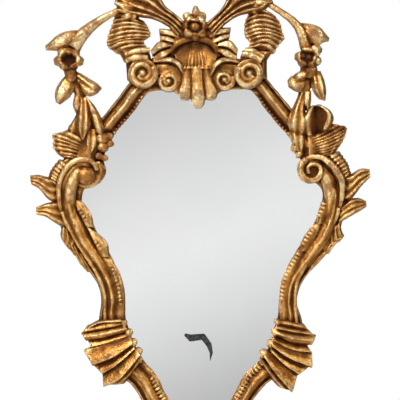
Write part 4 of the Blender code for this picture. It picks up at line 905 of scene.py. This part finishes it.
def largest_skin(mesh):
    """The mesh without the small closed skins of pockets inside the wood."""
    edges = links(mesh)
    label = np.arange(len(mesh.vertices))
    while True:
        low = label.copy()
        np.minimum.at(low, edges[:, 0], label[edges[:, 1]])
        np.minimum.at(low, edges[:, 1], label[edges[:, 0]])
        low = low[low]
        if np.array_equal(low, label):
            break
        label = low
    names, counts = np.unique(label, return_counts=True)
    stray = np.flatnonzero(label != names[counts.argmax()])
    if len(stray):
        skin = bmesh.new()
        skin.from_mesh(mesh)
        skin.verts.ensure_lookup_table()
        bmesh.ops.delete(skin, geom=[skin.verts[i] for i in stray], context="VERTS")
        skin.to_mesh(mesh)
        skin.free()
    return mesh


def relaxed(values, edges, rounds):
    """Values at the vertices after so many rounds of averaging with their neighbours."""
    count = np.bincount(edges.ravel(), minlength=len(values)).astype(float)
    count = np.maximum(count, 1)
    values = values.reshape(len(values), -1).astype(float)
    for _ in range(rounds):
        mixed = np.empty_like(values)
        for i in range(values.shape[1]):
            column = values[:, i]
            total = np.bincount(edges[:, 0], column[edges[:, 1]], len(column))
            total += np.bincount(edges[:, 1], column[edges[:, 0]], len(column))
            mixed[:, i] = total / count
        values = (values + mixed) / 2
    return values


def mottle(points, size, seed):
    """Soft seeded noise, about -1 to 1, whose blots are about the size in metres."""
    chance = np.random.default_rng(seed)
    total = np.zeros(len(points))
    for _ in range(WAVES):
        way = chance.normal(size=3)
        way *= 2 * math.pi / (size * chance.uniform(0.7, 1.6)) / np.linalg.norm(way)
        total += np.sin(points @ way + chance.uniform(0, 2 * math.pi))
    return total / math.sqrt(WAVES)


def sculpt(mesh):
    """Gives the skin the small unevenness of hand carving under gesso."""
    points, normals = places(mesh), places(mesh, "normal")
    push = WOBBLE * mottle(points, WOBBLE_SIZE, 1) + TOOLING * mottle(points, TOOLING_SIZE, 2)
    points += normals * push[:, None]
    mesh.vertices.foreach_set("co", points.astype(np.float32).ravel())
    mesh.update()


def carve_frame():
    """The gilded frame: the forms joined, sculpted, brought down to fewer faces and cut as the solid is."""
    mesh = joined_forms()
    sculpt(mesh)
    frame_piece = bpy.data.objects.new("gilded_carving", mesh)
    bpy.context.scene.collection.objects.link(frame_piece)
    facets = frame_piece.modifiers.new("Facets", "DECIMATE")
    facets.ratio = min(1, FRAME_FACETS / (2 * len(mesh.polygons)))
    cutters = bpy.data.collections.new("Cutters")
    bpy.context.scene.collection.children.link(cutters)
    past_wall = 2 * BEHIND_WALL * SQUARE
    rebate_depth = BOARD_INSET + BOARD_THICKNESS + GLASS_THICKNESS + 2 * FACE_CLEARANCE
    seat_depth = STRAP_THICKNESS + FACE_CLEARANCE
    seat_size = [size + 2 * FACE_CLEARANCE for size in (STRAP_WIDTH, STRAP_HEIGHT)]
    mortise = bore(NAIL_MORTISE_WIDTH, past_wall, seat_depth + NAIL_MORTISE_DEPTH, NAIL_HOLE_RISE)
    add_object("wall", block(2 * FRAME_WIDTH, 4 * FRAME_WIDTH, past_wall, 0), cutters)
    add_object("rebate", slab(sight_outline(REBATE_WIDTH), past_wall, rebate_depth), cutters)
    add_object("strap_seat", block(*seat_size, past_wall, seat_depth), cutters)
    add_object("nail_mortise", mortise, cutters)
    cut = frame_piece.modifiers.new("Cut", "BOOLEAN")
    cut.operand_type = "COLLECTION"
    cut.collection = cutters
    cut.solver = "MANIFOLD"
    cut_mesh = evaluated_mesh(frame_piece)
    for cutter in list(cutters.objects):
        bpy.data.objects.remove(cutter)
    bpy.data.collections.remove(cutters)
    points = np.clip(places(cut_mesh), *cad_limits("carved_frame"))
    cut_mesh.vertices.foreach_set("co", points.astype(np.float32).ravel())
    cut_mesh.shade_smooth()
    cut_mesh.set_sharp_from_angle(angle=math.radians(CREASE))
    record_relief(cut_mesh)
    piece = bpy.data.objects.new("gilded_carving", cut_mesh)
    bpy.context.scene.collection.objects.link(piece)
    cut_mesh.materials.clear()
    cut_mesh.materials.append(gilding())
    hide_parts("carved_frame")
    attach(piece, "root")


def cad_limits(node):
    """The lowest and the highest corner of the solid's box."""
    return [np.array(corner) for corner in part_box(node)]


def record_relief(mesh):
    """Stores how far each vertex stands out as a ridge or lies in a hollow, for the gilding's painted
    highlight, painted shade and wear.
    """
    points, normals, edges = places(mesh), places(mesh, "normal"), links(mesh)
    for name, rounds, full in (("ridge", RIDGE_ROUNDS, RIDGE_FULL), ("swell", SWELL_ROUNDS, SWELL_FULL)):
        out = ((points - relaxed(points, edges, rounds)) * normals).sum(1)
        out = relaxed(out, edges, EVEN_ROUNDS)[:, 0] / full
        store(mesh, name, np.clip(out, -1, 1))
    store(mesh, "hollow", np.clip(hollows(points) / HOLLOW_FULL, 0, 1))


def store(mesh, name, values):
    """Keeps a value for each vertex, for the gilding to read."""
    layer = mesh.attributes.new(name, "FLOAT", "POINT")
    layer.data.foreach_set("value", values.astype(np.float32))


def hollows(points):
    """How far each point lies below the carving around it, from a relief map of the front."""
    low = points.min(0)
    cells = ((points - low) / MAP_CELL).astype(int)
    shape = cells.max(0) + 1
    height = np.zeros((shape[0], shape[2]))
    np.maximum.at(height, (cells[:, 0], cells[:, 2]), -points[:, 1])
    around = height
    for _ in range(MAP_ROUNDS):
        padded = np.pad(around, 1, mode="edge")
        around = sum(
            padded[1 + i : 1 + i + shape[0], 1 + j : 1 + j + shape[2]]
            for i in (-1, 0, 1)
            for j in (-1, 0, 1)
        ) / 9
    return around[cells[:, 0], cells[:, 2]] + points[:, 1]


class Nodes:
    """The node tree of a material or world, with short ways to add and join nodes."""

    def __init__(self, owner):
        self.owner = owner
        owner.use_nodes = True
        self.tree = owner.node_tree

    def add(self, kind, settings=None, **inputs):
        node = self.tree.nodes.new("ShaderNode" + kind)
        for key, value in (settings or {}).items():
            setattr(node, key, value)
        self.feed(node, inputs)
        return node

    def feed(self, node, inputs):
        for key, value in inputs.items():
            self.join(value, node.inputs[key.replace("_", " ")])

    def join(self, value, socket):
        if isinstance(value, bpy.types.NodeSocket):
            self.tree.links.new(value, socket)
        else:
            socket.default_value = value

    def shade(self, **inputs):
        """Joins values to the material's own shader, and returns the material."""
        self.feed(self.tree.nodes["Principled BSDF"], inputs)
        return self.owner

    def place(self):
        return self.add("TexCoord").outputs["Object"]

    def height(self):
        return self.add("SeparateXYZ", Vector=self.place()).outputs["Z"]

    def relief(self, name):
        return self.add("Attribute", {"attribute_name": name}).outputs["Fac"]

    def noise(self, scale, detail, rough=0.5, place=None):
        place = place or self.place()
        return self.add("TexNoise", Vector=place, Scale=scale, Detail=detail, Roughness=rough).outputs["Fac"]

    def ramp(self, value, low, high, low_to=0.0, high_to=1.0):
        node = self.add("MapRange", {"interpolation_type": "SMOOTHSTEP"}, Value=value)
        for name, number in (("From Min", low), ("From Max", high), ("To Min", low_to), ("To Max", high_to)):
            node.inputs[name].default_value = number
        return node.outputs["Result"]

    def maths(self, operation, *values):
        node = self.add("Math", {"operation": operation})
        for value, socket in zip(values, node.inputs):
            self.join(value, socket)
        return node.outputs["Value"]

    def plus(self, *values):
        total = values[0]
        for value in values[1:]:
            total = self.maths("ADD", total, value)
        return total

    def times(self, value, share):
        return self.maths("MULTIPLY", value, share)

    def vector(self, operation, first, second, output="Vector"):
        node = self.add("VectorMath", {"operation": operation})
        self.join(first, node.inputs[0])
        self.join(second, node.inputs["Scale" if operation == "SCALE" else 1])
        return node.outputs[output]

    def mix(self, factor, first, second, blend="MIX"):
        node = self.add("Mix", {"data_type": "RGBA", "blend_type": blend})
        self.join(factor, node.inputs["Factor"])
        for value, socket in ((first, node.inputs[6]), (second, node.inputs[7])):
            self.join(value if isinstance(value, bpy.types.NodeSocket) else (*value, 1), socket)
        return node.outputs[2]

    def steps(self, value, stops):
        """A colour that runs through stops of (value from -1 to 1, colour)."""
        node = self.add("ValToRGB", Fac=self.maths("MULTIPLY_ADD", value, 0.5, 0.5))
        elements = node.color_ramp.elements
        while len(elements) < len(stops):
            elements.new(1)
        for element, (stop, colour) in zip(elements, stops):
            element.position = (stop + 1) / 2
            element.color = (*colour, 1)
        return node.outputs["Color"]

    def stroke(self, line):
        """Distance in metres from a stroke on the front, drawn through points with its half width."""
        flat = self.vector("MULTIPLY", self.place(), (1, 0, 1))
        nearest = None
        for (x1, y1, half1), (x2, y2, half2) in zip(line, line[1:]):
            start, end = (Vector(point) for point in metres([(x1, y1, 0), (x2, y2, 0)]))
            way = end - start
            off = self.vector("SUBTRACT", flat, start)
            along = self.vector("DOT_PRODUCT", off, way / way.length_squared, "Value")
            share = self.add("Clamp", Value=along).outputs["Result"]
            gap = self.vector("DISTANCE", off, self.vector("SCALE", way, share), "Value")
            half = self.maths("MULTIPLY_ADD", share, (half2 - half1) * SQUARE, half1 * SQUARE)
            away = self.maths("SUBTRACT", gap, half)
            nearest = self.maths("MINIMUM", nearest, away) if nearest else away
        return nearest

    def bump(self, height, distance, strength, normal=None):
        node = self.add("Bump", Height=height, Distance=distance, Strength=strength)
        if normal:
            self.join(normal, node.inputs["Normal"])
        return node.outputs["Normal"]


def material_nodes(name):
    return Nodes(bpy.data.materials.new(name))


def gilding():
    """Worn gold leaf with painted light: paler on crests as painted highlight and wear, darker in dips,
    hollows and along dark strokes as painted shade, brown glaze lower down, specks of red bole.
    """
    kit = material_nodes("Gold leaf, worn, with painted shade and highlight")
    swell, specks = kit.relief("swell"), kit.noise(480, 3, 0.6)
    # Painted shade: hollows darkened by how far they lie below the carving around them, half as much low down
    hollow_shade = kit.times(kit.ramp(kit.height(), *LOW_REACH, LOW_SHADE_SHARE, 1.0), HOLLOW_LIFT)
    # Painted shadow and shade: the gilding is darkened along these strokes
    away = kit.stroke(SHADE_AND_DARK_STROKES[0])
    for line in SHADE_AND_DARK_STROKES[1:]:
        away = kit.maths("MINIMUM", away, kit.stroke(line))
    # The tone: painted highlight and wear on ridges and swells, painted shade in their dips and in hollows,
    # the dark strokes, and random blots and clouds
    lift = kit.plus(
        kit.times(kit.relief("ridge"), RIDGE_LIFT),
        kit.times(swell, SWELL_LIFT),
        kit.times(kit.relief("hollow"), hollow_shade),
        kit.ramp(away, -0.002, 0.004, -DARK_STROKE_DEPTH, 0.0),
        kit.times(kit.maths("SUBTRACT", kit.noise(110, 4, 0.65), 0.5), BLOT_LIFT),
        kit.times(kit.maths("SUBTRACT", kit.noise(24, 3), 0.5), CLOUD_LIFT),
    )
    low = kit.ramp(kit.height(), *LOW_REACH, 1.0, 0.0)
    colour = kit.mix(low, kit.steps(lift, GILT_STEPS), LOW_TINT, "MULTIPLY")
    rubbed = kit.plus(kit.times(swell, 0.25), kit.noise(70, 5, 0.7))
    bole = kit.times(kit.ramp(rubbed, 0.74, 0.84), 0.7)
    leaf_left = kit.maths("SUBTRACT", 1.0, bole)
    return kit.shade(
        Base_Color=kit.mix(bole, colour, BOLE),
        # Less metal and sheen where the tone is low, as part of the painted shade in hollows
        Metallic=kit.times(kit.ramp(lift, -0.75, -0.1, 0.15, 0.88), leaf_left),
        Specular_IOR_Level=kit.times(kit.ramp(lift, -0.75, -0.1, 0.1, 0.4), leaf_left),
        Roughness=kit.plus(kit.ramp(specks, 0.3, 0.7, 0.30, 0.46), kit.ramp(lift, -0.9, 0.1, 0.3, 0.0)),
        Normal=kit.bump(kit.noise(170, 3), 0.0016, 0.7, kit.bump(specks, 0.0008, 0.7)),
    )


def silvering():
    """Old silvered glass: a clear reflection with a faint haze, and one small dark hook-shaped mark painted
    on as a reflection.
    """
    kit = material_nodes("Silvered glass")
    haze = kit.noise(6, 3)
    colour = kit.mix(kit.ramp(haze, 0.3, 0.7), (0.91, 0.915, 0.92), (0.94, 0.945, 0.945))
    # Painted reflection: a dark hook on the glass, where the glass's metal is turned off
    reflection_hook = kit.ramp(kit.stroke(REFLECTION_HOOK), -0.0003, 0.0002, 1.0, 0.0)
    hook_dark = kit.mix(kit.ramp(kit.noise(260, 3), 0.4, 0.7), (0.006, 0.007, 0.008), (0.05, 0.055, 0.055))
    return kit.shade(
        Base_Color=kit.mix(reflection_hook, colour, hook_dark),
        Metallic=kit.maths("SUBTRACT", 1.0, reflection_hook),
        Roughness=kit.ramp(haze, 0.3, 0.7, 0.02, 0.04),
    )


def pine():
    """The board's old pine, with its grain upright."""
    kit = material_nodes("Old pine board")
    stretch = kit.add("Mapping", Vector=kit.place(), Scale=(60, 60, 3)).outputs["Vector"]
    grain = kit.noise(1.5, 5, 0.6, stretch)
    return kit.shade(
        Base_Color=kit.mix(kit.ramp(grain, 0.35, 0.65), (0.20, 0.11, 0.055), (0.36, 0.22, 0.12)),
        Roughness=kit.ramp(grain, 0.3, 0.7, 0.65, 0.85),
        Normal=kit.bump(grain, 0.0008, 0.6),
    )


def dark_iron():
    """The strap's and screws' dark iron, with a little rust."""
    kit = material_nodes("Dark iron")
    rust = kit.noise(300, 4, 0.6)
    return kit.shade(
        Base_Color=kit.mix(kit.ramp(rust, 0.5, 0.72), (0.05, 0.045, 0.042), (0.16, 0.07, 0.035)),
        Metallic=kit.ramp(rust, 0.4, 0.7, 0.9, 0.2),
        Roughness=kit.ramp(rust, 0.3, 0.7, 0.4, 0.75),
        Normal=kit.bump(rust, 0.0004, 0.8),
    )


def dress(nodes, material):
    """Gives frame nodes that keep their own shape their material."""
    for name in nodes:
        piece = frame["nodes"][name]
        piece.data.materials.clear()
        piece.data.materials.append(material)


def area_light(name, place, aim, size, power):
    """A soft rectangular light turned to its aim."""
    light = bpy.data.lights.new(name, "AREA")
    light.shape = "RECTANGLE"
    light.size, light.size_y = size
    light.energy = power
    lamp = bpy.data.objects.new(name, light)
    lamp.location = place
    lamp.rotation_euler = (Vector(aim) - Vector(place)).to_track_quat("-Z", "Y").to_euler()
    bpy.context.scene.collection.objects.link(lamp)


def studio():
    """White to the camera. Gold and glass see a graded room with a pale band across it, and soft lights."""
    middle = Vector((0, 0, VIEW_HEIGHT))
    for name, (place, size, power) in LIGHTS.items():
        area_light(name, middle + Vector(place), middle, size, power)
    kit = Nodes(bpy.data.worlds.new("Studio"))
    bpy.context.scene.world = kit.owner
    kit.tree.nodes.clear()
    way = kit.add("TexCoord").outputs["Generated"]
    across = kit.vector("DOT_PRODUCT", way, (-math.sin(BAND_TILT), 0, math.cos(BAND_TILT)), "Value")
    side = kit.maths("ABSOLUTE", kit.add("SeparateXYZ", Vector=way).outputs["X"])
    dim = kit.ramp(side, *SIDE_FALL, 1, SIDE_LEFT_OVER)
    grey = kit.steps(across, [(height, (level, level, level)) for height, level in ROOM_BANDS])
    mix = kit.add("MixShader", Fac=kit.add("LightPath").outputs["Is Camera Ray"])
    kit.join(kit.add("Background", Color=grey, Strength=dim).outputs["Background"], mix.inputs[1])
    kit.join(kit.add("Background", Color=(1, 1, 1, 1)).outputs["Background"], mix.inputs[2])
    kit.add("OutputWorld", Surface=mix.outputs["Shader"])
    ground = bmesh.new()
    bmesh.ops.create_circle(ground, cap_ends=True, segments=FLOOR_SIDES, radius=FLOOR_RADIUS)
    floor = add_object("floor", ground)
    floor.location = (0, 0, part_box("carved_frame")[0].z - FLOOR_DROP)
    pale = material_nodes("Pale floor").shade(Base_Color=(0.85, 0.85, 0.84, 1), Roughness=0.6)
    floor.data.materials.append(pale)


def camera():
    """Square on at the photo's framing: so many squares across at the carving's mean depth."""
    lens = bpy.data.cameras.new("camera")
    lens.sensor_width = SENSOR
    lens.lens = SENSOR / 1000 * CAMERA_DISTANCE / (PHOTO_SQUARES * SQUARE) * 1000
    lens.clip_end = 100
    eye = bpy.data.objects.new("camera", lens)
    eye.location = (0, -CAMERA_DISTANCE - MEAN_DEPTH, VIEW_HEIGHT)
    eye.rotation_euler = (math.pi / 2, 0, 0)
    bpy.context.scene.collection.objects.link(eye)
    bpy.context.scene.camera = eye


def main():
    carve_frame()
    dress(["mirror_plate"], silvering())
    dress(["back_board"], pine())
    dress(["hanger_strap", "hanger_screw_1", "hanger_screw_2"], dark_iron())
    studio()
    camera()
    bpy.context.scene.view_settings.view_transform = "Standard"


main()
